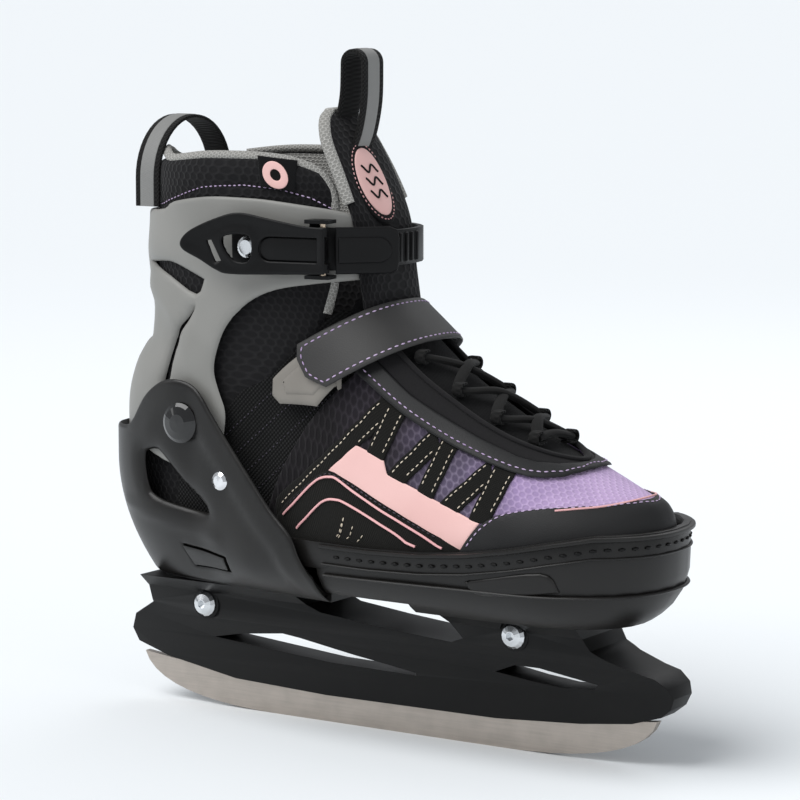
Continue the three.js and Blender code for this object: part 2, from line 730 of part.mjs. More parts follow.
function makeVamp() {
  const above = box(-100, 200, -wide, wide, footWidest + 8, 300);
  const opening = extruded('z', throatShape(throat.inner, throat.innerEnd), 0, 300).intersect(above);
  return forefootEnd(forefootShell())
    .subtract(extruded('y', capOutline, -wide, wide))
    .subtract(opening);
}

function makeToeCap() {
  return forefootShell().intersect(extruded('y', capOutline.map(([x, z]) => [x + seatGap, z - seatGap]), -wide, wide));
}

function makeEyestay() {
  const lifted = footForm(eyestay.lift + eyestay.thickness).subtract(footForm(eyestay.lift));
  const above = box(-100, 200, -wide, wide, footWidest + 12, 300);
  const band = extruded('z', throatShape(throat.outer, throat.outerEnd), 0, 300)
    .subtract(extruded('z', throatShape(throat.inner, throat.innerEnd), -1, 301))
    .intersect(above);
  return forefootEnd(lifted.intersect(band), 4);
}

function makeTongueLower() {
  const plate = footForm(-0.6).subtract(footForm(-fabric - 1));
  const above = box(-100, 200, -wide, wide, footWidest + 12, 300);
  const inside = extruded('z', throatShape(throat.inner - 0.5, throat.innerEnd - 0.5), 0, 300);
  return forefootEnd(plate.intersect(inside).intersect(above));
}

// Height of the forefoot's outer surface at a place on the instep.
function footTopAt(x, y) {
  const next = footStations.findIndex(([stationX]) => stationX > x);
  const [a, b] = [footStations[next - 1], footStations[next]];
  const share = (x - a[0]) / (b[0] - a[0]);
  const [top, half, power] = [1, 2, 3].map((i) => THREE.MathUtils.lerp(a[i], b[i], share));
  return footWidest + (top - footWidest) * (1 - Math.abs(y / half) ** power) ** (1 / power);
}

function tube(points, radius, sides) {
  const circle = new THREE.Shape(Array.from({ length: sides }, (_, i) => {
    const a = (i / sides) * 2 * Math.PI;
    return new THREE.Vector2(radius * Math.cos(a), radius * Math.sin(a));
  }));
  const path = new THREE.CatmullRomCurve3(points.map(([x, y, z]) => new THREE.Vector3(x, y, z)), false, 'centripetal');
  const steps = Math.ceil(path.getLength() / (radius * 4));
  return solid(new THREE.ExtrudeGeometry(circle, { steps, bevelEnabled: false, extrudePath: path }));
}

// Pairs of lace loops up the instep: x of the outer-side loop, x of the inner-side loop, distance from the centre.
const lacePairs = [[27, 34, 15.5], [46, 51, 15.5], [65, 69, 15], [82, 85, 11.8]];
const laceLift = 4.3;

function laceAnchor(pair, side) {
  const [outerX, innerX, y] = pair;
  const x = side < 0 ? outerX : innerX;
  return [x, side * y, footTopAt(x, y) + laceLift];
}

function makeLace() {
  const over = (a, b, lift) => [(a[0] + b[0]) / 2, 0, footTopAt((a[0] + b[0]) / 2, 0) + laceLift + lift];
  const strand = (first, lift) => {
    const points = [];
    let side = first;
    lacePairs.forEach((pair, i) => {
      const here = laceAnchor(pair, side);
      if (i) points.push(over(points[points.length - 1], here, lift));
      points.push(here);
      side = -side;
    });
    return points;
  };
  const outer = strand(-1, 0.6);
  const inner = strand(1, 1.4);
  const toeBar = [outer[outer.length - 1], over(outer[outer.length - 1], inner[inner.length - 1], 0.2),
    inner[inner.length - 1]];
  return tube(outer, lace.radius, lace.sides).add(tube(inner, lace.radius, lace.sides))
    .add(tube(toeBar, lace.radius, lace.sides));
}

// A webbing loop that holds the lace where it turns back: a short fold, open towards the middle.
function makeLaceLoop(pair, side) {
  const [x, y, z] = laceAnchor(pair, side);
  const ring = (radius, length) => solid(new THREE.CylinderGeometry(radius, radius, length, 12).rotateZ(Math.PI / 2));
  const room = lace.radius + 0.8;
  const openSide = side < 0 ? box(-9, 9, -0.2, 9, -9, 9) : box(-9, 9, -9, 0.2, -9, 9);
  const fold = ring(room + 1, 4).subtract(ring(room, 6)).subtract(openSide);
  const slope = (footTopAt(x - 5, y) - footTopAt(x + 5, y)) / 10;
  const turn = new THREE.Matrix4().makeRotationY(Math.atan(slope)).setPosition(x, y, z);
  return fold.transform(turn.elements);
}

// ---------- instep strap ----------

// A slab across the instep, tilted as the strap lies, between two places along its own slope.
function strapSlab(from, to, y0, y1, width) {
  const a = THREE.MathUtils.degToRad(strap.angle);
  const place = new THREE.Matrix4().makeRotationY(-a).setPosition(strap.centreX, 0, strap.centreZ);
  const geometry = new THREE.BoxGeometry(to - from, y1 - y0, width);
  return solid(geometry.translate((from + to) / 2, (y0 + y1) / 2, 0), place);
}

function makeInstepStrap() {
  const outer = footForm(strap.lift + strap.thickness);
  const inner = footForm(strap.lift);
  const reach = strapSlab(strap.tip, 60, -wide, 0.1, strap.width)
    .add(strapSlab(strap.hinge, 60, 0, wide, strap.width));
  return outer.subtract(inner).intersect(reach);
}

function makeStrapAnchor() {
  return footForm(strap.lift + strap.thickness)
    .subtract(footForm(seatGap))
    .intersect(strapSlab(strap.hinge - 13, strap.hinge - slideGap, strap.sideFrom, wide, strap.width));
}

function makeStrapPatch() {
  return footForm(strap.lift - slideGap)
    .subtract(footForm(seatGap))
    .intersect(strapSlab(strap.tip - 8, strap.tip + 16, -wide, -strap.sideFrom, strap.width));
}

// ---------- buckle ----------

// Places a piece made flat in (forward, up) against the buckle's pin, turned about Z.
function atPin(made, angle) {
  const turn = new THREE.Matrix4()
    .makeRotationZ(THREE.MathUtils.degToRad(angle))
    .setPosition(buckle.pinX, buckle.pinY, 0);
  return made.transform(turn.elements);
}

const leverOutline = [
  [3, 226.8], [-7.7, 227.3], [-24, 230], [-37.7, 232.2], [-48, 230], [-61.5, 224.5], [-67, 219], [-67, 216],
  [-58, 211.5], [-50, 207], [-43.6, 205.2], [-22, 205.8], [3, 206.6],
];

const leverSlot = { end: -24, half: 5.3 };
const pinDepth = 0.6;

function makeLever() {
  const out = -buckle.leverThickness;
  const plate = extruded('y', leverOutline, out, 0);
  const slot = new THREE.Shape();
  const { middle } = buckle;
  slot.moveTo(6, middle + leverSlot.half);
  slot.lineTo(leverSlot.end, middle + leverSlot.half);
  slot.absarc(leverSlot.end, middle, leverSlot.half, Math.PI / 2, (3 * Math.PI) / 2);
  slot.lineTo(6, middle - leverSlot.half);
  const window = [[-33.5, 222], [-45, 222], [-46.5, 218], [-41, 211.4], [-33.5, 211.8]];
  const slit = [[-54.5, 219.6], [-52.5, 220], [-48, 211], [-50, 210.4]];
  const cheek = (z) => box(-6, 3, -0.2, 3.4, z, z + 2.4);
  const cheeks = cheek(207).add(cheek(224.2));
  const lever = plate
    .subtract(extruded('y', slot, out - 1, 1))
    .subtract(extruded('y', window, out - 1, 1))
    .subtract(extruded('y', slit, out - 1, 1))
    .add(cheeks)
    .subtract(upright(0, pinDepth, buckle.pinRadius + seatGap, 200, 235));
  return atPin(lever, buckle.leverAngle);
}

function upright(x, y, radius, z0, z1) {
  const geometry = new THREE.CylinderGeometry(radius, radius, z1 - z0, 16);
  geometry.rotateX(Math.PI / 2);
  geometry.translate(x, y, (z0 + z1) / 2);
  return solid(geometry);
}

function makeLeverPin() {
  return atPin(upright(0, pinDepth, buckle.pinRadius, buckle.bottom + 0.2, buckle.top - 0.2), buckle.leverAngle);
}

// The release tongue in the lever's slot, hinged on the same pin.
function makeReleaseTab() {
  const shape = new THREE.Shape();
  const half = leverSlot.half - slideGap;
  const { middle } = buckle;
  shape.moveTo(1.8, middle + half);
  shape.lineTo(leverSlot.end, middle + half);
  shape.absarc(leverSlot.end, middle, half, Math.PI / 2, (3 * Math.PI) / 2);
  shape.lineTo(1.8, middle - half);
  const tab = extruded('y', shape, -2.4, 0)
    .add(box(-1.8, 1.8, -0.5, 2.4, middle - half, middle + half))
    .subtract(upright(0, pinDepth, buckle.pinRadius + seatGap, 200, 235));
  return atPin(tab, buckle.leverAngle);
}

// The buckle's frame: a base plate screwed to the cuff, and ears that carry the pin.
function makeBuckleBase() {
  const plate = shaftForm(cuff.gap + cuff.wall + seatGap + 2)
    .subtract(shaftForm(cuff.gap + cuff.wall + seatGap))
    .intersect(box(-56, buckle.pinX + 3, -wide, 0, 207.5, 226))
    .subtract(rod(screw.x, screw.z, screw.radius + seatGap, -wide, 0));
  const ear = (z) => box(-8, 3.4, -1.4, 7, z, z + 1.6);
  const ears = atPin(ear(buckle.bottom).add(ear(buckle.top - 1.6)), buckle.leverAngle)
    .subtract(shaftForm(cuff.gap + cuff.wall + seatGap));
  const bridge = atPin(box(-8, -3.4, 3.8, 7, buckle.bottom, buckle.top), buckle.leverAngle)
    .subtract(shaftForm(cuff.gap + cuff.wall + seatGap));
  return plate
    .add(ears)
    .add(bridge)
    .subtract(atPin(upright(0, pinDepth, buckle.pinRadius + seatGap, 200, 235), buckle.leverAngle));
}

// The front plate over the ladder strap, with a raised pad.
function makeFrontPlate() {
  const { plateLength, plateThickness, middle } = buckle;
  const start = 5.4;
  const plate = box(start, start + plateLength, -plateThickness, 3, 206.5, 226.8);
  const pad = new THREE.Shape();
  pad.moveTo(start + 0.5, middle - 5.6);
  pad.lineTo(start + plateLength - 9, middle - 5.6);
  pad.absarc(start + plateLength - 9, middle, 5.6, -Math.PI / 2, Math.PI / 2);
  pad.lineTo(start + 0.5, middle + 5.6);
  return atPin(plate.add(extruded('y', pad, -plateThickness - 0.8, -1)), buckle.plateAngle)
    .subtract(ladderForm(ladder.thickness + ladder.toothHeight + seatGap));
}

function ladderForm(outset) {
  return loft([200, 235], 40, (z, angle, reach) => [
    ladder.centre + reach * (ladder.reach + outset) * powered(Math.cos(angle), ladder.power),
    reach * (ladder.half + outset) * powered(Math.sin(angle), ladder.power),
    z,
  ]);
}

function makeLadderStrap() {
  const rear = anchor.x - 9;
  const teeth = Array.from({ length: 7 }, (_, i) => {
    const a = THREE.MathUtils.degToRad(-24 + i * 6);
    return solid(
      new THREE.BoxGeometry(8, 1.6, ladder.top - ladder.bottom - 3),
      new THREE.Matrix4().makeRotationZ(a).setPosition(
        ladder.centre + (ladder.reach + ladder.thickness) * Math.cos(a),
        (ladder.half + ladder.thickness) * Math.sin(a),
        (ladder.top + ladder.bottom) / 2,
      ),
    );
  });
  const toothTop = ladderForm(ladder.thickness + ladder.toothHeight);
  const band = ladderForm(ladder.thickness)
    .subtract(ladderForm(0))
    .intersect(box(rear, 60, -wide, wide, ladder.bottom, ladder.top))
    .subtract(box(-wide, buckle.pinX + 6, -wide, 0, 200, 235));
  return teeth
    .reduce((made, tooth) => made.add(tooth.subtract(ladderForm(0.5)).intersect(toothTop)), band)
    .subtract(rod(anchor.x, anchor.z, anchor.radius + seatGap, 0, wide));
}

function makeBuckleScrew() {
  const face = -shaftSideAt(screw.x, screw.z, cuff.gap + cuff.wall + seatGap + 2) - 0.2;
  const inside = -shaftSideAt(screw.x, screw.z, cuff.gap) - 0.4;
  return turned(screw.x, screw.z, [
    [0, face - 1.3], [3.2, face - 1.3], [screw.headRadius, face - 0.5], [screw.headRadius, face], [screw.radius, face],
    [screw.radius, inside], [0, inside],
  ], 20);
}

function makeAnchorScrew() {
  const face = ladder.half + ladder.thickness + seatGap;
  const inside = shaftSideAt(anchor.x, anchor.z, cuff.gap) + 0.4;
  return turned(anchor.x, anchor.z, [
    [0, inside], [anchor.radius, inside], [anchor.radius, face], [anchor.headRadius, face],
    [anchor.headRadius, face + 0.8], [3, face + 2], [0, face + 2.2],
  ], 20);
}

// ---------- pull loops ----------

// A band of webbing that leaves the tongue's face above the badge and folds back into its top edge.
const tongueLoop = { frontX: -8.6, rearX: -21, foldZ: 296.4, frontFoot: [-16.5, 258], rearFoot: [-25, 269] };

function makeTongueLoop() {
  const { frontX, rearX, foldZ, frontFoot, rearFoot } = tongueLoop;
  const outline = (inset) => {
    const shape = new THREE.Shape();
    const radius = (frontX - rearX) / 2 - inset;
    shape.moveTo(frontFoot[0] - inset, frontFoot[1]);
    shape.lineTo(frontX - inset, foldZ);
    shape.absarc((frontX + rearX) / 2, foldZ, radius, 0, Math.PI);
    shape.lineTo(rearFoot[0] + inset, rearFoot[1]);
    return shape;
  };
  const half = webbing.width / 2;
  return extruded('y', outline(0), -half, half)
    .subtract(extruded('y', outline(webbing.thickness), -half - 1, half + 1))
    .subtract(tongueClear());
}

function tongueClear() {
  return loft(tongueStations, 20, ([z, x, half], angle, reach) => [
    x + reach * (tongue.thickness / 2 + seatGap) * powered(Math.cos(angle), 3),
    reach * (half + seatGap) * powered(Math.sin(angle), 3),
    z + (z === tongue.top ? seatGap : 0),
  ]);
}

const rearLoop = { half: 28, base: 231.5, top: 272, rear: -118.9, width: 13.2 };

function makeRearLoop() {
  const { half, base, top, rear, width } = rearLoop;
  const outer = new THREE.Shape();
  outer.moveTo(-half, base);
  outer.lineTo(-half, top - half);
  outer.absellipse(0, top - half, half, half, Math.PI, 0, true);
  outer.lineTo(half, base);
  outer.lineTo(half - webbing.thickness, base);
  outer.lineTo(half - webbing.thickness, top - half);
  outer.absellipse(0, top - half, half - webbing.thickness, half - webbing.thickness, 0, Math.PI, false);
  outer.lineTo(-half + webbing.thickness, base);
  return extruded('x', outer, rear, rear + width);
}

// ---------- badge, footbeds ----------

function makeBadge() {
  const shape = new THREE.Shape();
  shape.absellipse(0, 0, badge.halfWidth, badge.halfHeight, 0, 2 * Math.PI);
  const lean = new THREE.Matrix4().makeRotationY(-badge.lean).setPosition(badge.x, 0, badge.z);
  return extruded('x', shape, 0, badge.thickness).transform(lean.elements).subtract(tongueClear());
}

function makeFootbed(form, x0, x1, bottom) {
  return form.intersect(box(x0, x1, -wide, wide, bottom, bottom + footbed.thickness));
}

// ---------- assembly ----------

function assemble() {
  const look = finishes;
  addPart('blade', makeBlade(), look.bladeSteel);
  const seats = boltSeats(rearBoltX, holder.boltHeight.rear)
    .add(boltSeats(frontBoltX, holder.boltHeight.front))
    .subtract(lug(rearBoltX, holder.boltHeight.rear, seatGap))
    .subtract(lug(frontBoltX, holder.boltHeight.front, seatGap))
    .subtract(rod(rearBoltX, holder.boltHeight.rear, bolt.shankRadius + seatGap, -wide, wide))
    .subtract(rod(frontBoltX, holder.boltHeight.front, bolt.shankRadius + seatGap, -wide, wide));
  addPart('blade_holder', makeHolder().add(seats), look.blackPlastic);
  addPart('tower_bolt_rear', makeTowerBolt(rearBoltX, holder.boltHeight.rear), look.zinc);
  addPart('tower_bolt_front', makeTowerBolt(frontBoltX, holder.boltHeight.front), look.zinc);
  addPart('tower_nut_rear', makeTowerNut(rearBoltX, holder.boltHeight.rear), look.zinc);
  addPart('tower_nut_front', makeTowerNut(frontBoltX, holder.boltHeight.front), look.zinc);
  addPart('heel_shell', makeHeelShell(), look.blackPlastic);
  addPart('toe_shell', makeToeShell(), look.blackPlastic);
  addPart('front_guide', makeFrontGuide(), look.blackPlastic);
  addPart('push_button', makePushButton(), look.blackPlastic);
  addPart('button_spring', makeButtonSpring(), look.springSteel);
  addPart('cuff', makeCuff(), look.greyPlastic);
  for (const [side, word] of [[-1, 'outer'], [1, 'inner']]) {
    addPart(`pivot_bolt_${word}`, makePivotBolt(side), look.glossBlack);
    addPart(`arm_rivet_${word}`, makeRivet(side), look.chrome);
  }
  addPart('heel_liner', makeHeelLiner(), look.textileBlack);
  addPart('collar', makeCollar(), look.textileBlack);
  addPart('tongue_upper', makeTongueUpper(), look.textileBlack);
  addPart('tongue_lower', makeTongueLower(), look.textileBlack);
  addPart('vamp', makeVamp(), look.textileFade);
  addPart('toe_cap', makeToeCap(), look.leatherBlack);
  addPart('eyestay', makeEyestay(), look.leatherGrey);
  addPart('lace', makeLace(), look.textileBlack);
  lacePairs.forEach((pair, i) => {
    addPart(`lace_loop_outer_${i + 1}`, makeLaceLoop(pair, -1), look.textileBlack);
    addPart(`lace_loop_inner_${i + 1}`, makeLaceLoop(pair, 1), look.textileBlack);
  });
  addPart('instep_strap', makeInstepStrap(), look.leatherGrey);
  addPart('strap_anchor', makeStrapAnchor(), look.leatherGrey);
  addPart('strap_patch', makeStrapPatch(), look.beigeRubber);
  addPart('buckle_base', makeBuckleBase(), look.buckleBlack);
  addPart('buckle_lever', makeLever(), look.buckleBlack);
  addPart('lever_pin', makeLeverPin(), look.brass);
  addPart('release_tab', makeReleaseTab(), look.buckleBlack);
  addPart('front_plate', makeFrontPlate(), look.buckleBlack);
  addPart('ladder_strap', makeLadderStrap(), look.buckleBlack);
  addPart('buckle_screw', makeBuckleScrew(), look.zinc);
  addPart('ladder_screw', makeAnchorScrew(), look.zinc);
  addPart('tongue_loop', makeTongueLoop(), look.textileBlack);
  addPart('rear_loop', makeRearLoop(), look.textileBlack);
  addPart('tongue_badge', makeBadge(), look.pink);
  const buttonRoom = box(button.rear - 2, button.front + 2, -wide, button.inner + 1, 0, 200);
  const heelBed = makeFootbed(shaftForm(-3.4), -140, -16, footbed.bottom).subtract(buttonRoom);
  addPart('heel_footbed', heelBed, look.foam);
  addPart('toe_footbed', makeFootbed(footForm(-fabric - seatGap), -8, 150, footbed.toeBottom), look.foam);
}

assemble();
export default skate;
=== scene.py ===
"""Looks of an adjustable ice skate for a right foot, built round its CAD frame.

Sizes are in millimetres until a piece is finished: +X to the toe, +Z up, -Y to the buckle side.
"""

import json
import math

import bmesh
import bpy
import numpy as np
from mathutils import Matrix, Vector

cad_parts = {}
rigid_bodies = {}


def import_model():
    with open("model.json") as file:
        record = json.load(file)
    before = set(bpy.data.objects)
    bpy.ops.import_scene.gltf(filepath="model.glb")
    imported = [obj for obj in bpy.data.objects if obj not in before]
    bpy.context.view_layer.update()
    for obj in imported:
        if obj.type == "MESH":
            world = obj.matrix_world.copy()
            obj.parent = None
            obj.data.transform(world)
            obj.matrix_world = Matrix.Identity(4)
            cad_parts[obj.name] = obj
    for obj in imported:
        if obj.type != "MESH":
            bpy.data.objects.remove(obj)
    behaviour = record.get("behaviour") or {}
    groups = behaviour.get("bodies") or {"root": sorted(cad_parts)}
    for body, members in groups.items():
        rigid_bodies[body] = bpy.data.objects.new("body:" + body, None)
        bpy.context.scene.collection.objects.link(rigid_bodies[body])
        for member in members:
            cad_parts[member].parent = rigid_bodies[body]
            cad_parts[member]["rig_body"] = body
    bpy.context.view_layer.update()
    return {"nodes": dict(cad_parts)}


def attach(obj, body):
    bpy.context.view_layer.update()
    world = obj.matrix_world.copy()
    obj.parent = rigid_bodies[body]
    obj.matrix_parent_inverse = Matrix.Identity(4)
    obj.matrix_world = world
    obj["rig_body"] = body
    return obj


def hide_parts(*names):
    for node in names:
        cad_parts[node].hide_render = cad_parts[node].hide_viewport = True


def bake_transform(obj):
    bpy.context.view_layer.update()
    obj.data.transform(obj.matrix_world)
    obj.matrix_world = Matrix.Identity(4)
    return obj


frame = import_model()
scene = bpy.context.scene
MM = 0.001
OUTER, INNER = -1, 1  # the side of the foot that carries the buckle, and the other one
SIDES = ((OUTER, "outer"), (INNER, "inner"))


# ---------- camera, floor and light ----------


def make_camera():
    azimuth, elevation = math.radians(33), math.radians(7.38)
    target, distance = Vector((0.005, 0, 0.1489)), 1.4
    away = Vector((
        math.sin(azimuth) * math.cos(elevation),
        -math.cos(azimuth) * math.cos(elevation),
        math.sin(elevation),
    ))
    data = bpy.data.cameras.new("camera")
    data.lens, data.sensor_width = 143.1, 36
    camera = bpy.data.objects.new("camera", data)
    camera.location = target + away * distance
    camera.rotation_euler = (-away).to_track_quat("-Z", "Y").to_euler()
    scene.collection.objects.link(camera)
    scene.camera = camera


LAMPS = [  # name, place, size in metres, power in watts
    ("side", (-1.5, -0.8, 0.8), 0.7, 1.6),
    ("rim", (-0.2, 1.3, 1.2), 0.9, 2.2),
    ("front", (1.5, -0.6, 0.7), 0.7, 1.6),
]


LIT_POINT = (0, 0, 0.13)


def make_light(name, place, size, power):
    data = bpy.data.lights.new(name, "AREA")
    data.shape, data.size, data.energy = "DISK", size, power
    light = bpy.data.objects.new(name, data)
    light.location = place
    light.rotation_euler = (Vector(LIT_POINT) - Vector(place)).to_track_quat("-Z", "Y").to_euler()
    scene.collection.objects.link(light)


def make_stage():
    data = bpy.data.meshes.new("floor")
    bm = bmesh.new()
    bmesh.ops.create_grid(bm, x_segments=1, y_segments=1, size=300)
    bm.to_mesh(data)
    bm.free()
    floor = bpy.data.objects.new("floor", data)
    scene.collection.objects.link(floor)
    paper = bpy.data.materials.new("floor_paper")
    paper.use_nodes = True
    shader = paper.node_tree.nodes["Principled BSDF"]
    shader.inputs["Base Color"].default_value = (0.865, 0.895, 0.915, 1)
    shader.inputs["Roughness"].default_value = 0.9
    shader.inputs["Specular IOR Level"].default_value = 0.1
    data.materials.append(paper)
    world = bpy.data.worlds.new("studio")
    world.use_nodes = True
    world.node_tree.nodes["Background"].inputs["Color"].default_value = (0.93, 0.96, 1.0, 1)
    world.node_tree.nodes["Background"].inputs["Strength"].default_value = 0.46
    scene.world = world
    sky = bpy.data.lights.new("sky", "SUN")
    sky.energy, sky.angle = 2.34, math.radians(50)
    lamp = bpy.data.objects.new("sky", sky)
    lamp.rotation_euler = (math.radians(28), math.radians(-20), 0)
    scene.collection.objects.link(lamp)
    for lamp_name, place, size, power in LAMPS:
        make_light(lamp_name, place, size, power)
    scene.view_settings.view_transform = "Standard"


make_camera()
make_stage()


# ---------- shader groups and materials ----------


class Nodes:
    """A short way to lay shader nodes in one tree."""

    def __init__(self, tree):
        self.tree = tree

    def add(self, kind, values=(), **settings):
        node = self.tree.nodes.new(kind)
        for key, value in settings.items():
            setattr(node, key, value)
        for key, value in dict(values).items():
            if isinstance(value, bpy.types.NodeSocket):
                self.tree.links.new(value, node.inputs[key])
            else:
                node.inputs[key].default_value = value
        return node

    def math(self, operation, a, b=0.0, c=0.0):
        return self.add("ShaderNodeMath", {0: a, 1: b, 2: c}, operation=operation).outputs[0]

    def vector(self, operation, a, b=(0, 0, 0), output=0):
        return self.add("ShaderNodeVectorMath", {0: a, 1: b}, operation=operation).outputs[output]

    def mix(self, share, a, b):
        node = self.add("ShaderNodeMix", {0: share, 6: a, 7: b}, data_type="RGBA")
        return node.outputs[2]

    def noise(self, place, scale, detail=2.0, rough=0.5):
        values = {"Vector": place, "Scale": scale, "Detail": detail, "Roughness": rough}
        return self.add("ShaderNodeTexNoise", values).outputs["Fac"]

    def span(self, value, low, high, to_low=0.0, to_high=1.0):
        return self.add("ShaderNodeMapRange", {0: value, 1: low, 2: high, 3: to_low, 4: to_high}).outputs[0]


def group(name, inputs, outputs, build):
    tree = bpy.data.node_groups.new(name, "ShaderNodeTree")
    for label, kind, value in inputs:
        socket = tree.interface.new_socket(label, in_out="INPUT", socket_type=kind)
        if value is not None:
            socket.default_value = value
    for label, kind in outputs:
        tree.interface.new_socket(label, in_out="OUTPUT", socket_type=kind)
    nodes = Nodes(tree)
    results = build(nodes, nodes.add("NodeGroupInput").outputs)
    end = nodes.add("NodeGroupOutput")
    for label, socket in results.items():
        tree.links.new(socket, end.inputs[label])
    return tree


FLOAT, VECTOR = "NodeSocketFloat", "NodeSocketVector"


def grain_nodes(n, given):
    """Moulded or leather grain: a fine height, and a slow change for the roughness and colour."""
    fine = n.noise(given["Place"], given["Grain scale"], 3.0, 0.6)
    slow = n.noise(given["Place"], given["Cloud scale"], 2.0)
    return {"Height": fine, "Cloud": slow}


def weave_nodes(n, given):
    """Over and under threads across a flat pattern piece, as a height and a mask."""
    scaled = n.vector("MULTIPLY", given["Place"], given["Threads"])
    flat = n.add("ShaderNodeSeparateXYZ", {0: scaled})
    across = n.math("SINE", n.math("MULTIPLY", flat.outputs[0], math.tau))
    along = n.math("SINE", n.math("MULTIPLY", flat.outputs[1], math.tau))
    cross = n.math("MULTIPLY", across, along)
    height = n.span(cross, -1.0, 1.0)
    return {"Height": height, "Mask": n.math("POWER", height, 0.7)}


def honeycomb_nodes(n, given):
    """Embossed hexagonal dots: 1 in the middle of a dot, 0 on the walls between."""
    row = (1.0, math.sqrt(3), 1.0)
    scaled = n.vector("MULTIPLY", given["Place"], given["Dots"])
    results = []
    for shift in ((0, 0, 0), (0.5, math.sqrt(3) / 2, 0)):
        moved = n.vector("ADD", scaled, shift)
        cell = n.vector("FRACTION", n.vector("DIVIDE", moved, row))
        centred = n.vector("MULTIPLY", n.vector("SUBTRACT", cell, (0.5, 0.5, 0.5)), (1, math.sqrt(3), 0))
        results.append(n.vector("LENGTH", centred, output=1))
    nearest = n.math("MINIMUM", results[0], results[1])
    return {"Dot": n.span(nearest, 0.52, 0.3)}


GRAIN = group(
    "grain",
    [("Place", VECTOR, None), ("Grain scale", FLOAT, 1500.0), ("Cloud scale", FLOAT, 30.0)],
    [("Height", FLOAT), ("Cloud", FLOAT)],
    grain_nodes,
)
WEAVE = group(
    "weave",
    [("Place", VECTOR, None), ("Threads", VECTOR, (900, 900, 0))],
    [("Height", FLOAT), ("Mask", FLOAT)],
    weave_nodes,
)
HONEYCOMB = group(
    "honeycomb",
    [("Place", VECTOR, None), ("Dots", VECTOR, (250, 250, 0))],
    [("Dot", FLOAT)],
    honeycomb_nodes,
)


class Finish:
    """One material: its shader, and the coordinates that its pattern follows."""

    def __init__(self, name, **constants):
        self.material = bpy.data.materials.new(name)
        self.material.use_nodes = True
        self.n = Nodes(self.material.node_tree)
        self.shader = self.material.node_tree.nodes["Principled BSDF"]
        self.coordinates = self.n.add("ShaderNodeTexCoord")
        self.place = self.coordinates.outputs["Object"]
        self.flat = self.coordinates.outputs["UV"]
        for label, value in constants.items():
            self.shader.inputs[label.replace("_", " ")].default_value = value

    def use(self, tree, values):
        node = self.n.tree.nodes.new("ShaderNodeGroup")
        node.node_tree = tree
        for key, value in values.items():
            if isinstance(value, bpy.types.NodeSocket):
                self.n.tree.links.new(value, node.inputs[key])
            else:
                node.inputs[key].default_value = value
        return node.outputs

    def link(self, label, socket):
        self.n.tree.links.new(socket, self.shader.inputs[label])

    def bump(self, height, depth, strength=1.0):
        node = self.n.add("ShaderNodeBump", {"Height": height, "Distance": depth * MM,
                                             "Strength": strength})
        self.link("Normal", node.outputs[0])


def moulded(name, dark, light, rough, grain=0.03, scale=2600.0, coat=0.0, shine=0.35):
    """Moulded plastic, rubber or leather: a fine grain, and slow changes of tone and gloss."""
    f = Finish(name, Coat_Weight=coat, Specular_IOR_Level=shine)
    g = f.use(GRAIN, {"Place": f.place, "Grain scale": scale, "Cloud scale": 28.0})
    tone = f.n.span(g["Cloud"], 0.35, 0.65)
    f.link("Base Color", f.n.mix(tone, (*dark, 1), (*light, 1)))
    f.link("Roughness", f.n.span(g["Cloud"], 0.3, 0.7, rough - 0.04, rough + 0.05))
    f.bump(g["Height"], grain)
    return f.material


def metal(name, colour, rough, streaks=(30.0, 30.0, 900.0), spread=0.08):
    f = Finish(name, Metallic=1.0)
    brushed = f.n.noise(f.n.vector("MULTIPLY", f.place, streaks), 1.0, 4.0, 0.65)
    blotch = f.n.noise(f.place, 120.0, 3.0)
    low = tuple(c * 0.82 for c in colour)
    tone = f.n.span(f.n.math("ADD", brushed, f.n.math("MULTIPLY", blotch, 0.6)), 0.6, 1.0)
    f.link("Base Color", f.n.mix(tone, (*low, 1), (*colour, 1)))
    f.link("Roughness", f.n.span(brushed, 0.3, 0.7, rough - spread, rough + spread))
    f.bump(brushed, 0.01)
    return f.material


def cloth(name, dark, light, threads=(1100.0, 1100.0, 0.0), depth=0.12, rough=0.95, sheen=0.08):
    f = Finish(name, Roughness=rough, Sheen_Weight=sheen, Sheen_Roughness=0.5, Specular_IOR_Level=0.12)
    w = f.use(WEAVE, {"Place": f.flat, "Threads": threads})
    fuzz = f.n.noise(f.place, 900.0, 3.0, 0.7)
    tone = f.n.math("MULTIPLY", w["Mask"], f.n.span(fuzz, 0.3, 0.7, 0.55, 1.0))
    f.link("Base Color", f.n.mix(tone, (*dark, 1), (*light, 1)))
    f.bump(w["Height"], depth)
    return f.material


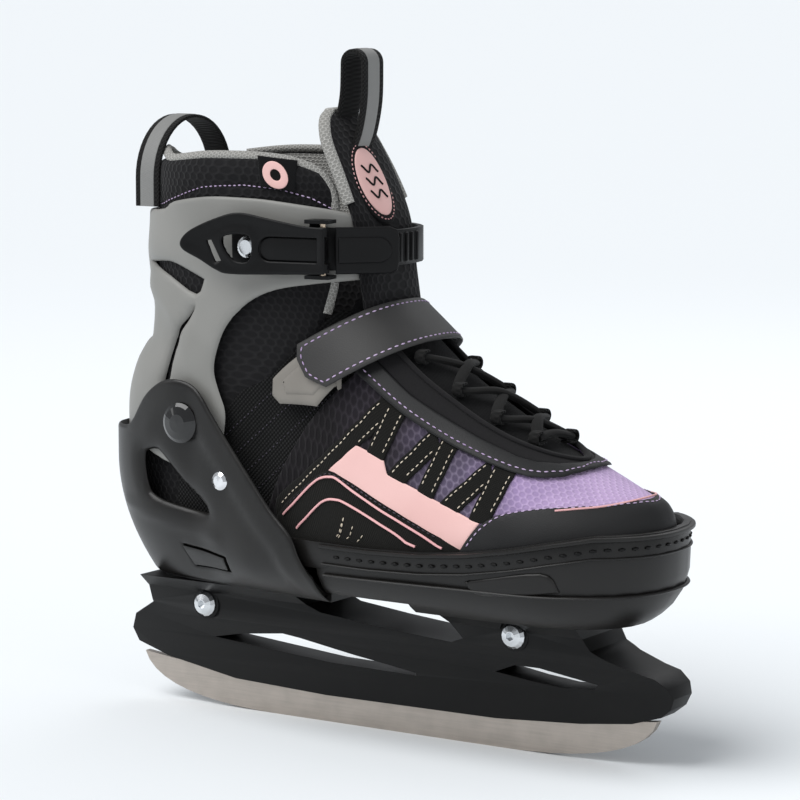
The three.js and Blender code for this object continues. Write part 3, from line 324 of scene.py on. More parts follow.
def honeycomb_cloth(name, wall, dot, size, depth=0.35, fade=None):
    """Knit embossed with hexagonal dots. fade gives further (x, wall, dot) tones along the foot."""
    f = Finish(name, Roughness=0.8, Sheen_Weight=0.08, Sheen_Roughness=0.5, Specular_IOR_Level=0.14)
    per = 1000.0 / size
    cells = f.use(HONEYCOMB, {"Place": f.flat, "Dots": (per, per, 0.0)})["Dot"]
    knit = f.use(WEAVE, {"Place": f.flat, "Threads": (1400.0, 1400.0, 0.0)})
    wall_tone, dot_tone = (*wall, 1), (*dot, 1)
    if fade:
        cloud = f.n.noise(f.place, 60.0, 2.0)
        split = f.n.add("ShaderNodeSeparateXYZ", {0: f.place})
        along = f.n.math("ADD", split.outputs[0], f.n.span(cloud, 0.3, 0.7, -0.008, 0.008))
        before = fade[0]
        wall_tone, dot_tone = (*before[1], 1), (*before[2], 1)
        for stop in fade[1:]:
            share = f.n.span(along, before[0] * MM, stop[0] * MM)
            wall_tone = f.n.mix(share, wall_tone, (*stop[1], 1))
            dot_tone = f.n.mix(share, dot_tone, (*stop[2], 1))
            before = stop
    tone = f.n.mix(cells, wall_tone, dot_tone)
    fine = f.n.span(knit["Mask"], 0.0, 1.0, 0.8, 1.05)
    shaded = f.n.add("ShaderNodeMix", {0: 1.0, 6: tone, 7: (0, 0, 0, 1)}, data_type="RGBA",
                     blend_type="MULTIPLY")
    fine_colour = f.n.add("ShaderNodeCombineColor", {0: fine, 1: fine, 2: fine}).outputs[0]
    f.n.tree.links.new(fine_colour, shaded.inputs[7])
    f.link("Base Color", shaded.outputs[2])
    height = f.n.math("SUBTRACT", f.n.math("MULTIPLY", knit["Height"], 0.15), cells)
    f.bump(height, depth)
    return f.material


def ribbed(name, dark, light, ribs, depth=0.3):
    """Ribs straight across a narrow strip: laces, bindings and webbing."""
    f = Finish(name, Roughness=0.85, Sheen_Weight=0.06, Specular_IOR_Level=0.14)
    w = f.use(WEAVE, {"Place": f.n.vector("ADD", f.flat, (0, 0.25 / max(ribs[1], 1.0), 0)),
                      "Threads": ribs})
    fuzz = f.n.noise(f.place, 1200.0, 2.0)
    tone = f.n.math("MULTIPLY", w["Mask"], f.n.span(fuzz, 0.3, 0.7, 0.7, 1.0))
    f.link("Base Color", f.n.mix(tone, (*dark, 1), (*light, 1)))
    f.bump(w["Height"], depth)
    return f.material


BLACK_PLASTIC = moulded("black_plastic", (0.0065, 0.006, 0.0056), (0.0105, 0.0097, 0.009), 0.36)
HOLDER_PLASTIC = moulded("holder_plastic", (0.0035, 0.0034, 0.0035), (0.0055, 0.0053, 0.0052), 0.42,
                         shine=0.2)
BUCKLE_PLASTIC = moulded("buckle_plastic", (0.003, 0.003, 0.0032), (0.0046, 0.0046, 0.005), 0.4, shine=0.18)
GREY_PLASTIC = moulded("grey_plastic", (0.232, 0.23, 0.216), (0.262, 0.258, 0.243), 0.42, 0.02)
GLOSS_BLACK = moulded("gloss_black", (0.004, 0.004, 0.0045), (0.006, 0.006, 0.006), 0.08, 0.0, 800.0, 0.6)
TOE_LEATHER = moulded("toe_leather", (0.005, 0.005, 0.0055), (0.009, 0.009, 0.0095), 0.52, 0.09, 1900.0)
STRAP_LEATHER = moulded("strap_leather", (0.026, 0.0252, 0.025), (0.04, 0.039, 0.038), 0.5, 0.08, 1900.0)
PATCH_RUBBER = moulded("patch_rubber", (0.2, 0.185, 0.165), (0.25, 0.235, 0.21), 0.6, 0.03)
PINK_FILM = moulded("pink_film", (0.78, 0.475, 0.445), (0.84, 0.53, 0.5), 0.5, 0.06, 1500.0)
BLADE_STEEL = metal("blade_steel", (0.53, 0.475, 0.425), 0.4)
ZINC = metal("zinc", (0.78, 0.8, 0.82), 0.22, (60.0, 60.0, 60.0))
CHROME = metal("chrome", (0.85, 0.86, 0.88), 0.1, (60.0, 60.0, 60.0), 0.03)
BRASS = metal("brass", (0.62, 0.5, 0.38), 0.25, (60.0, 60.0, 60.0))
BLACK_KNIT = honeycomb_cloth("black_knit", (0.013, 0.0125, 0.0135), (0.0065, 0.0062, 0.007), 3.6, 0.3)
BLACK_CLOTH = cloth("black_cloth", (0.003, 0.003, 0.0035), (0.008, 0.008, 0.0085))
BAND_CLOTH = cloth("band_cloth", (0.005, 0.005, 0.0045), (0.013, 0.0125, 0.011), (900.0, 900.0, 0.0), 0.1)
GREY_MESH = honeycomb_cloth("grey_mesh", (0.5, 0.49, 0.465), (0.27, 0.265, 0.248), 1.7, 0.3)
VAMP_KNIT = honeycomb_cloth(
    "vamp_knit", (0.02, 0.017, 0.02), (0.01, 0.008, 0.01), 3.4, 0.3,
    fade=[
        (-10, (0.011, 0.009, 0.011), (0.005, 0.004, 0.005)),
        (30, (0.05, 0.042, 0.055), (0.022, 0.018, 0.025)),
        (60, (0.2, 0.165, 0.24), (0.1, 0.08, 0.13)),
        (85, (0.46, 0.34, 0.56), (0.33, 0.24, 0.43)),
        (112, (0.66, 0.5, 0.76), (0.55, 0.4, 0.65)),
    ],
)
LACE_CORD = ribbed("lace_cord", (0.003, 0.003, 0.003), (0.017, 0.0165, 0.016), (0.0, 620.0, 0.0), 0.5)
BINDING = ribbed("binding", (0.003, 0.003, 0.0035), (0.021, 0.02, 0.021), (0.0, 700.0, 0.0), 0.3)
WEBBING = ribbed("webbing", (0.004, 0.004, 0.004), (0.014, 0.0135, 0.013), (300.0, 520.0, 0.0), 0.3)
REFLECTIVE = cloth("reflective_tape", (0.2, 0.2, 0.195), (0.27, 0.27, 0.262), (1300.0, 1300.0, 0.0), 0.05,
                   0.45, 0.0)
STRETCH = cloth("stretch_gusset", (0.002, 0.002, 0.002), (0.012, 0.012, 0.012), (480.0, 480.0, 0.0), 0.5)
CREAM_THREAD = moulded("cream_thread", (0.55, 0.47, 0.37), (0.75, 0.66, 0.53), 0.7, 0.02)
PURPLE_THREAD = moulded("purple_thread", (0.42, 0.3, 0.5), (0.6, 0.47, 0.67), 0.7, 0.02)
DARK_THREAD = moulded("dark_thread", (0.035, 0.03, 0.04), (0.06, 0.052, 0.07), 0.7, 0.02)
PINK_THREAD = moulded("pink_thread", (0.62, 0.32, 0.32), (0.8, 0.47, 0.46), 0.7, 0.02)
FOAM_CLOTH = moulded("foam_cloth", (0.006, 0.006, 0.007), (0.012, 0.012, 0.013), 0.9, 0.1, 1400.0, 0.0, 0.1)
PIPING = moulded("pink_piping", (0.78, 0.4, 0.41), (0.84, 0.47, 0.47), 0.45, 0.01)


# ---------- making pieces ----------


def finished(name, bm, material, body=None, sharp=38):
    """Turns a bmesh in millimetres into a piece in metres."""
    bmesh.ops.scale(bm, vec=(MM, MM, MM), verts=bm.verts[:])
    mesh = bpy.data.meshes.new(name)
    bm.to_mesh(mesh)
    bm.free()
    piece = bpy.data.objects.new(name, mesh)
    scene.collection.objects.link(piece)
    for one in material if isinstance(material, (list, tuple)) else [material]:
        mesh.materials.append(one)
    dress(piece, sharp)
    if body:
        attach(piece, body)
    return piece


def dress(piece, sharp):
    piece.data.shade_smooth()
    piece.data.set_sharp_from_angle(angle=math.radians(sharp))


def settle(piece, sharp=38):
    """Applies the piece's modifiers to its mesh."""
    graph = bpy.context.evaluated_depsgraph_get()
    graph.update()
    mesh = bpy.data.meshes.new_from_object(piece.evaluated_get(graph))
    piece.modifiers.clear()
    old, piece.data = piece.data, mesh
    bpy.data.meshes.remove(old)
    mesh.name = piece.name
    dress(piece, sharp)
    return piece


def walled(piece, thickness, sharp=38):
    """Gives a sheet its thickness, grown inwards."""
    wall = piece.modifiers.new("wall", "SOLIDIFY")
    wall.thickness, wall.offset, wall.use_even_offset = thickness * MM, -1, False
    return settle(piece, sharp)


def smooth_row(rows, t):
    """Runs a smooth curve through rows whose first value is the place along it."""
    last = len(rows) - 1
    t = min(max(t, rows[0][0]), rows[last][0])
    i = next(k for k in range(last) if t <= rows[k + 1][0])
    a, b = rows[i], rows[i + 1]
    before, after = rows[max(i - 1, 0)], rows[min(i + 2, last)]
    span = b[0] - a[0]
    s = (t - a[0]) / span
    found = []
    for k in range(1, len(a)):
        leave = (b[k] - before[k]) / (b[0] - before[0]) * span
        arrive = (after[k] - a[k]) / (after[0] - a[0]) * span
        found.append(
            (2 * s**3 - 3 * s**2 + 1) * a[k] + (s**3 - 2 * s**2 + s) * leave
            + (3 * s**2 - 2 * s**3) * b[k] + (s**3 - s**2) * arrive
        )
    return found


def rounded(points, closed=True, steps=6, corners=()):
    """A smooth curve through points; those listed in corners stay sharp."""
    count = len(points)
    found = []
    for i in range(count if closed else count - 1):
        a, b = points[i], points[(i + 1) % count]
        before = points[i - 1] if closed or i else a
        after = points[(i + 2) % count] if closed or i + 2 < count else b
        if i in corners:
            before = a
        if (i + 1) % count in corners:
            after = b
        for k in range(steps):
            s = k / steps
            found.append(tuple(
                0.5 * (2 * q + (r - p) * s + (2 * p - 5 * q + 4 * r - t) * s**2
                       + (3 * q - p - 3 * r + t) * s**3)
                for p, q, r, t in zip(before, a, b, after)
            ))
    if not closed:
        found.append(tuple(points[-1]))
    return found


def stepped(points, longest, closed=True):
    """The same outline with its long edges divided."""
    found = []
    count = len(points)
    for i in range(count if closed else count - 1):
        a, b = Vector(points[i]), Vector(points[(i + 1) % count])
        parts = max(1, math.ceil((b - a).length / longest))
        found.extend(tuple(a.lerp(b, k / parts)) for k in range(parts))
    if not closed:
        found.append(tuple(points[-1]))
    return found


def edge_distance(places, loops):
    """How far each flat place is from the nearest of the outlines."""
    best = np.full(len(places), 1e9)
    for loop in loops:
        a = np.array(loop, float)
        b = np.roll(a, -1, axis=0)
        along = b - a
        size = np.maximum((along**2).sum(1), 1e-9)
        for start in range(0, len(places), 4000):
            p = places[start:start + 4000, None, :] - a[None]
            t = np.clip((p * along).sum(2) / size, 0, 1)
            gap = np.sqrt(((p - t[..., None] * along) ** 2).sum(2)).min(1)
            best[start:start + 4000] = np.minimum(best[start:start + 4000], gap)
    return best


def ringed_sheet(outline, holes, cell, rings):
    """A cut sheet whose rim carries narrow rings, so that it can be rounded."""
    bm = bmesh.new()
    filler = bm.edges.layers.int.new("filler")
    for loop in [outline, *holes]:
        verts = [bm.verts.new((u, v, 0)) for u, v in loop]
        for a, b in zip(verts, verts[1:] + verts[:1]):
            bm.edges.new((a, b))
    bmesh.ops.triangle_fill(bm, use_beauty=True, use_dissolve=False, edges=bm.edges[:], normal=(0, 0, 1))
    for edge in bm.edges:
        edge[filler] = int(len(edge.link_faces) == 2)
    core = bm.faces[:]
    done = 0.0
    for depth in rings:
        bmesh.ops.inset_region(bm, faces=core, thickness=depth - done, use_even_offset=False,
                               use_boundary=True)
        done = depth
    us, vs = [p[0] for p in outline], [p[1] for p in outline]
    for axis, low, high, step in ((0, min(us), max(us), cell[0]), (1, min(vs), max(vs), cell[1])):
        normal = (1, 0, 0) if axis == 0 else (0, 1, 0)
        at = (math.floor(low / step) + 1) * step
        while at < high:
            everything = bm.verts[:] + bm.edges[:] + bm.faces[:]
            co = (at, 0, 0) if axis == 0 else (0, at, 0)
            bmesh.ops.bisect_plane(bm, geom=everything, dist=1e-4, plane_co=co, plane_no=normal)
            at += step
    spare = [e for e in bm.edges if e[filler] and len(e.link_faces) == 2]
    bmesh.ops.dissolve_edges(bm, edges=spare, use_verts=True, use_face_split=False)
    bm.normal_update()
    if sum(f.normal.z for f in bm.faces) < 0:
        bmesh.ops.reverse_faces(bm, faces=bm.faces[:])
    return bm


def panel(name, outline, place, material, body=None, holes=(), cell=(3.0, 3.0), lift=0.0, thickness=1.0,
          edge=0.0, drop=None, relief=None, sharp=38, flip=False):
    """A panel laid on a form: outline and holes are flat, and place(u, v, offset) puts them in space.

    edge rounds the panel's rim over that width and drop lowers it there; relief(places) adds to its height.
    """
    drop = (thickness * 0.8 if drop is None else drop)
    rings = [edge * 0.12, edge * 0.45, edge] if edge else []
    bm = ringed_sheet(outline, holes, cell, rings)
    flat = np.array([v.co[:2] for v in bm.verts], float)
    offset = np.full(len(flat), float(lift))
    if edge:
        away = np.clip(edge_distance(flat, [outline, *holes]) / edge, 0, 1)
        offset -= drop * (1 - np.sqrt(1 - (1 - away) ** 2))
    if relief:
        offset += relief(flat)
    uv = bm.loops.layers.uv.new("flat")
    for face in bm.faces:
        for loop in face.loops:
            loop[uv].uv = (loop.vert.co.x * MM, loop.vert.co.y * MM)
    for vert, (u, v), o in zip(bm.verts, flat, offset):
        vert.co = place(u, v, o)
    if flip:
        bmesh.ops.reverse_faces(bm, faces=bm.faces[:])
    piece = finished(name, bm, material, None, sharp)
    if thickness:
        walled(piece, thickness, sharp)
    if body:
        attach(piece, body)
    return piece


SWEPT_CREASE = 38  # degrees above which a swept strip's edge stays sharp


def sweep(name, path, half_width, half_height, material, body=None, up=(0, 0, 1), power=2.0, sides=12):
    """A strip or cord of one section along a path; up leans its thickness."""
    points = [Vector(p) for p in path]
    steps = len(points) - 1
    bm = bmesh.new()
    bmesh.ops.create_grid(bm, x_segments=steps, y_segments=sides, size=0.5)
    uv = bm.loops.layers.uv.new("flat")
    along = [0.0]
    for a, b in zip(points, points[1:]):
        along.append(along[-1] + (b - a).length)
    girth = math.tau * (half_width + half_height) / 2
    for face in bm.faces:
        for corner in face.loops:
            i = round((corner.vert.co.x + 0.5) * steps)
            corner[uv].uv = ((corner.vert.co.y + 0.5) * girth * MM, along[i] * MM)
    for vert in bm.verts:
        i = round((vert.co.x + 0.5) * steps)
        turn = (vert.co.y + 0.5) * math.tau
        forward = (points[min(i + 1, steps)] - points[max(i - 1, 0)]).normalized()
        lean = Vector(up(i) if callable(up) else up)
        across = forward.cross(lean).normalized()
        rise = across.cross(forward)
        vert.co = (points[i] + across * half_width * powered(math.cos(turn), power)
                   + rise * half_height * powered(math.sin(turn), power))
    bmesh.ops.remove_doubles(bm, verts=bm.verts[:], dist=1e-4)
    bmesh.ops.holes_fill(bm, edges=[e for e in bm.edges if e.is_boundary], sides=0)
    bmesh.ops.recalc_face_normals(bm, faces=bm.faces[:])
    return finished(name, bm, material, body, SWEPT_CREASE)


def stitches(name, paths, place, material, body=None, pitch=3.4, length=2.3, radius=0.36, lift=0.2):
    """Rows of sewn stitches along flat paths on a form."""
    bm = bmesh.new()
    for path in paths:
        flat = [Vector(p) for p in stepped(path, 0.7, closed=False)]
        points = [Vector(place(p.x, p.y, lift)) for p in flat]
        runs = [0.0]
        for a, b in zip(points, points[1:]):
            runs.append(runs[-1] + (b - a).length)

        def at(run):
            i = max(k for k in range(len(runs) - 1) if runs[k] <= run or k == 0)
            share = min(max((run - runs[i]) / max(runs[i + 1] - runs[i], 1e-6), 0), 1)
            return points[i].lerp(points[i + 1], share), flat[i].lerp(flat[i + 1], share)

        start = 0.4
        while start + length < runs[-1]:
            (a, flat_a), (b, _) = at(start), at(start + length)
            forward = (b - a).normalized()
            outward = Vector(place(flat_a.x, flat_a.y, lift + 1)) - Vector(place(flat_a.x, flat_a.y, lift))
            across = outward.cross(forward).normalized()
            outward = forward.cross(across)
            turn = Matrix((forward, across, outward)).transposed().to_4x4()
            shape = Matrix.Diagonal((length / 2, radius, radius * 0.8, 1))
            bmesh.ops.create_uvsphere(bm, u_segments=6, v_segments=4, radius=1,
                                      matrix=Matrix.Translation((a + b) / 2) @ turn @ shape)
            start += pitch
    return finished(name, bm, material, body, 80)


MOULDED_CREASE = 32  # degrees above which a moulded edge stays sharp
MOULDED_EDGE = 28  # degrees above which it is rounded


def refined(name, node, material, bevel=0.6):
    """A moulded piece on a CAD node's own shape, with its edges rounded."""
    source = frame["nodes"][node]
    bm = bmesh.new()
    bm.from_mesh(source.data)
    bmesh.ops.remove_doubles(bm, verts=bm.verts[:], dist=2e-6)
    bmesh.ops.dissolve_limit(bm, angle_limit=math.radians(1.5), verts=bm.verts[:], edges=bm.edges[:])
    bmesh.ops.scale(bm, vec=(1 / MM,) * 3, verts=bm.verts[:])
    piece = finished(name, bm, material, None, MOULDED_CREASE)
    soft = piece.modifiers.new("edges", "BEVEL")
    soft.width, soft.segments, soft.limit_method = bevel * MM, 2, "ANGLE"
    soft.angle_limit = math.radians(MOULDED_EDGE)
    soft.miter_outer = "MITER_ARC"
    settle(piece, MOULDED_CREASE)
    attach(piece, source["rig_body"])
    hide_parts(node)
    return piece


def dressed(material, *nodes):
    """Gives CAD nodes that keep their shape a finish."""
    for node in nodes:
        data = frame["nodes"][node].data
        data.materials.clear()
        data.materials.append(material)


def powered(value, power):
    return math.copysign(abs(value) ** (2 / power), value)


def eased(value, low, high):
    share = min(max((value - low) / (high - low), 0), 1)
    return share * share * (3 - 2 * share)


def mirrored(points):
    return [(u, -v) for u, v in points]


# ---------- the forms that the upper lies on ----------

FOOT_ROWS = [  # x, height of the top, half width, squareness
    (-60, 220, 35, 2.6), (-42, 214, 37, 2.6), (-20, 204, 39.5, 2.5), (0, 193, 42, 2.4),
    (14, 181.5, 43, 2.4),
    (30, 168, 44, 2.3), (48, 156.5, 44.3, 2.1), (75, 141, 44.3, 2), (92, 132, 42.8, 2),
    (106, 125, 38.8, 2.1),
    (118, 119.5, 32.8, 2.2), (128, 116, 24.5, 2.3), (135.2, 113, 14.5, 2.4), (139.2, 106.5, 7, 2.6),
    (140.2, 100, 2, 2.6),
]
FOOT_WIDEST = 95  # height at which the forefoot is widest
FOOT_TURN = 45  # flat width for each radian round the forefoot
FOOT_QUARTER = FOOT_TURN * math.pi / 2
SHAFT_ROWS = [  # height, x of the back, x of the front, half width
    (70, -120, 52, 29), (77, -122, 50, 30), (92, -130, 50, 33), (110, -133.5, 48, 33.8),
    (126, -133.7, 42, 33.6),
    (145, -133, 30, 33.3), (160, -128, 18, 33), (172, -120.5, 9, 33), (186, -118, 2, 33.4),
    (198, -118, -2, 34),
    (215, -118, -4, 35), (236, -117, -6, 35.5), (258, -114, -16, 34.5),
]
SHAFT_POWER = 2.6
SHAFT_TURN = 50  # flat width for each radian round the ankle, from the back


def on_foot(x, w, offset=0.0):
    """A place on the forefoot: w runs round it from the middle of the instep."""
    top, half, power = smooth_row(FOOT_ROWS, x)
    angle = min(abs(w) / FOOT_TURN, math.pi / 2)
    side = math.copysign(1, w)
    y = max(half + offset, 0.3) * powered(math.sin(angle), power)
    z = FOOT_WIDEST + (top - FOOT_WIDEST + offset) * powered(math.cos(angle), power)
    return Vector((x, side * y, z - max(abs(w) - FOOT_QUARTER, 0)))


def foot_turn_at(x, y):
    """The flat place on the forefoot above a place in plan."""
    _, half, power = smooth_row(FOOT_ROWS, x)
    share = min(abs(y) / half, 1) ** (power / 2)
    return math.copysign(FOOT_TURN * math.asin(share), y)


def shaft_half_at(x, z):
    rear, front, half = smooth_row(SHAFT_ROWS, z)
    along = min(abs((x - (rear + front) / 2) / ((front - rear) / 2)), 1) ** SHAFT_POWER
    return half * (1 - along) ** (1 / SHAFT_POWER)


def on_shaft(w, z, offset=0.0):
    """A place on the ankle: w runs round it from the middle of the back."""
    rear, front, half = smooth_row(SHAFT_ROWS, z)
    turn = w / SHAFT_TURN
    x = (rear + front) / 2 - ((front - rear) / 2 + offset) * powered(math.cos(turn), SHAFT_POWER)
    return Vector((x, (half + offset) * powered(math.sin(turn), SHAFT_POWER), z))


def shaft_turn_at(x, z):
    rear, front, _ = smooth_row(SHAFT_ROWS, z)
    along = min(max((x - (rear + front) / 2) / ((front - rear) / 2), -1), 1)
    return SHAFT_TURN * (math.pi - math.acos(math.copysign(abs(along) ** (SHAFT_POWER / 2), along)))


def from_side(points, side=OUTER):
    """Turns places in side view into flat places on the ankle."""
    return [(side * shaft_turn_at(x, z), z) for x, z in points]


# ---------- blade and holder ----------


def make_runner():
    refined("holder", "blade_holder", HOLDER_PLASTIC, 0.9)
    dressed(BLADE_STEEL, "blade")
    dressed(ZINC, "tower_bolt_rear", "tower_bolt_front", "tower_nut_rear", "tower_nut_front")
    dressed(HOLDER_PLASTIC, "front_guide")
    dressed(ZINC, "button_spring")


# ---------- shells, cuff and buckle ----------


def heel_half_at(x):
    return 41.2 + 8 * min(max((x + 84) / 73, 0), 1)


def heel_plan():
    """One side of the heel shell seen from above: run along it, x, y."""
    turns = [math.pi / 2 * i / 12 for i in range(13)]
    points = [(-141.5 + 62 * (1 - math.cos(a)), 41.2 * math.sin(a) ** 0.76) for a in turns]
    points += [(x, heel_half_at(x)) for x in (-70, -60, -50, -40, -30, -20, -11)]
    rows, run = [], 0.0
    for i, (x, y) in enumerate(points):
        run += math.dist((x, y), points[i - 1]) if i else 0
        rows.append((run, x, y))
    return rows


HEEL_PLAN = heel_plan()
HEEL_RIM = [(-160, 131), (-128, 131.5), (-118.6, 135), (-109.4, 146), (-99, 153.4), (-90, 156),
            (-81, 155.2), (-73.5, 151),
            (-66, 142), (-56, 130), (-45, 117.5), (-32, 103), (-21, 93), (-16.5, 84), (-13, 77),
            (-11, 73.5)]
HEEL_WINDOW = [(-112, 119), (-109, 122), (-103, 123), (-98.5, 121), (-85, 109.5), (-72, 97.4), (-89, 98.2),
               (-105, 101),
               (-110.5, 106)]
BUTTON_OPENING = [(-91.6, 80.2), (-62.9, 77.8), (-62.9, 70.6), (-87.6, 70)]
FOLD = [(-128, 97), (-112, 93.5), (-96, 91), (-80, 88.5), (-66, 86)]


def heel_run_at(x):
    """How far round the heel shell a place in side view lies."""
    for (a, xa, _), (b, xb, _) in zip(HEEL_PLAN, HEEL_PLAN[1:]):
        if x <= xb:
            return a + (b - a) * max(x - xa, 0) / (xb - xa)
    return HEEL_PLAN[-1][0]


def on_heel(s, z, offset=0.0):
    """A place on the heel shell: s runs round it from the middle of the back."""
    run = abs(s)
    x, y = smooth_row(HEEL_PLAN, run)
    ahead, behind = smooth_row(HEEL_PLAN, run + 1.5), smooth_row(HEEL_PLAN, max(run - 1.5, 0))
    if run < 1.5:
        behind = [ahead[0], -ahead[1]]
    along = Vector((ahead[0] - behind[0], ahead[1] - behind[1])).normalized()
    rear = 18 * (max(117 - z, 0) / 55) ** 2
    front = 16 * (max(92 - z, 0) / 30) ** 3
    out = offset - (rear + (front - rear) * eased(x, -94, -45))
    return Vector((x - along.y * out, math.copysign(1, s) * (y + along.x * out), z))


def on_sides(points, side):
    return [(side * heel_run_at(x), z) for x, z in points]


def make_heel_shell():
    rim = rounded(HEEL_RIM, closed=False, steps=5)[5:]
    side = [(heel_run_at(x), z) for x, z in rim] + [(HEEL_PLAN[-1][0], 62.5)]
    outline = stepped([(0, 131)] + [(-s, z) for s, z in side] + [(s, z) for s, z in side[::-1]], 2.5)
    window = stepped(rounded(HEEL_WINDOW, steps=4), 2.5)
    holes = [on_sides(window, OUTER), on_sides(window, INNER),
             on_sides(stepped(BUTTON_OPENING, 2.5), OUTER)]
    fold = stepped(FOLD, 2, False)
    folds = [on_sides(fold + fold[::-1], OUTER), on_sides(fold + fold[::-1], INNER)]
    front = [(s, z) for s, z in side if z < 158]
    edges = [[(sign * s, z) for s, z in front + front[::-1]] for sign in (-1, 1)]

    def relief(flat):
        raised = np.clip((15 - edge_distance(flat, edges)) / 4, 0, 1)
        raised = raised * raised * (3 - 2 * raised) * 1.3
        raised *= np.clip((np.abs(flat[:, 0]) - 52) / 20, 0, 1)
        funnel = np.clip(1 - edge_distance(flat, holes[:2]) / 7, 0, 1) ** 2 * 2.2
        ridge = 1.0 * np.exp(-(edge_distance(flat, folds) / 2.2) ** 2)
        return raised - funnel + ridge - 1.2

    shell = panel("heel_cup", outline, on_heel, BLACK_PLASTIC, "root", holes=holes, cell=(3, 3), lift=0.9,
                  thickness=3.2,
                  edge=1.8, drop=1.2, relief=relief, flip=True, sharp=50)
    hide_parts("heel_shell")
    sole = [on_heel(run, 62.6, -1.2) for run in np.linspace(0, HEEL_PLAN[-1][0], 30)]
    plan = [(p.x, p.y) for p in sole] + [(p.x, -p.y) for p in sole[:0:-1]]
    panel("heel_sole", stepped(plan[::-1], 3), lambda u, v, o: Vector((u, v, 62.2 + o)), BLACK_PLASTIC,
          "root",
          cell=(8, 8), lift=7.5, thickness=7.5)


TOE_LIP = [(-9, 91), (20, 91), (45, 91.8), (68, 94), (90, 97.8), (108, 101.6), (124, 104.5)]


def toe_plan():
    """One side of the toe shell seen from above, from its nose back: run along it, x, y."""
    turns = [math.pi / 2 * (1 - i / 14) for i in range(15)]
    points = [(88 + 55.5 * math.sin(a), 48 * math.cos(a) ** 0.9) for a in turns]
    points += [(66, 48), (42, 48), (14, 47.3), (-9, 45.6)]
    rows, run = [], 0.0
    for i, (x, y) in enumerate(points):
        run += math.dist((x, y), points[i - 1]) if i else 0
        rows.append((run, x, y))
    return rows


TOE_PLAN = toe_plan()


def on_toe(s, z, offset=0.0):
    """A place on the toe shell: s runs round it from the middle of its nose."""
    run = abs(s)
    x, y = smooth_row(TOE_PLAN, run)
    ahead, behind = smooth_row(TOE_PLAN, run + 1.5), smooth_row(TOE_PLAN, max(run - 1.5, 0))
    if run < 1.5:
        behind = [ahead[0], -ahead[1]]
    along = Vector((ahead[0] - behind[0], ahead[1] - behind[1])).normalized()
    out = offset - 16 * (max(92 - z, 0) / 30) ** 3
    return Vector((x + along.y * out, math.copysign(1, s) * (y - along.x * out), z))


def toe_run_at(x):
    for (a, xa, _), (b, xb, _) in zip(TOE_PLAN, TOE_PLAN[1:]):
        if x >= xb:
            return a + (b - a) * (xa - x) / (xa - xb)
    return TOE_PLAN[-1][0]


def lip_height(x):
    return float(np.interp(x, [p[0] for p in TOE_LIP], [p[1] for p in TOE_LIP]))


def make_toe_shell():
    refined("toe_cup", "toe_shell", BLACK_PLASTIC, 1.1)
    end = toe_run_at(-6)
    runs = np.linspace(-end, end, 150)
    heights = [lip_height(smooth_row(TOE_PLAN, abs(s))[0]) for s in runs]
    rail = [tuple(on_toe(s, z - 1.5, 0.1)) for s, z in zip(runs, heights)]
    sweep("toe_rim", rail, 1.9, 1.1, BLACK_PLASTIC, "toe_shell", power=3, sides=14)
    groove = [tuple(on_toe(s, z - 9.5, 0.0)) for s, z in zip(runs, heights)]
    sweep("toe_belt", groove, 0.9, 0.55, BLACK_PLASTIC, "toe_shell", sides=10)
    slots = []
    for s in np.arange(-end + 6, end - 4, 6.2):
        z = lip_height(smooth_row(TOE_PLAN, abs(s))[0]) - 5.8
        slots.append([(s, z), (s + 4.4, z + 0.05)])
    stitches("toe_slots", slots, on_toe, HOLDER_PLASTIC, "toe_shell", pitch=9, length=3.6, radius=0.8,
             lift=0.0)
    lower = [tuple(on_toe(s, 76 + 2.5 * math.cos(s / end * 1.4), 0.0)) for s in runs]
    sweep("toe_fold", lower, 1.4, 0.7, BLACK_PLASTIC, "toe_shell", sides=10)
    for side, mark in SIDES:
        shape = [(toe_run_at(x), z) for x, z in ((68, 81.5), (104, 88.5), (112, 80.5), (76, 76))]
        flat = [(side * s, z) for s, z in stepped(rounded(shape, steps=5, corners=(0, 2)), 2)]
        panel(f"toe_relief_{mark}", flat, on_toe, BLACK_PLASTIC, "toe_shell", cell=(3, 3), lift=0.9,
              thickness=1.2,
              edge=1.6, drop=0.9)


CUFF_EDGE = [(-160, 126), (-118, 124), (-104, 120), (-94, 117), (-84, 116.5), (-74, 118), (-66, 124),
             (-63.5, 133),
             (-63, 143), (-66.5, 152), (-69, 160.5), (-67.5, 169.6), (-62, 181.2), (-51, 191.9),
             (-37.5, 198.3),
             (-20, 201.5), (-6.5, 203), (-6.5, 230.5), (-17, 234), (-38.5, 237.2), (-54, 238),
             (-71.5, 237.8),
             (-90.5, 234.9), (-103, 230.5), (-160, 230)]
CUFF_TRIANGLE = [(-111, 206.5), (-97, 207.8), (-88, 206), (-75, 201), (-80, 194), (-96, 201)]
CUFF_SLIT = [(-80.5, 188.5), (-84.5, 184), (-94, 172), (-101, 153), (-97.5, 152.4), (-93, 168)]
CUFF_RIDGE = [(-112, 196), (-98, 190), (-88, 178), (-82, 166), (-80, 152)]


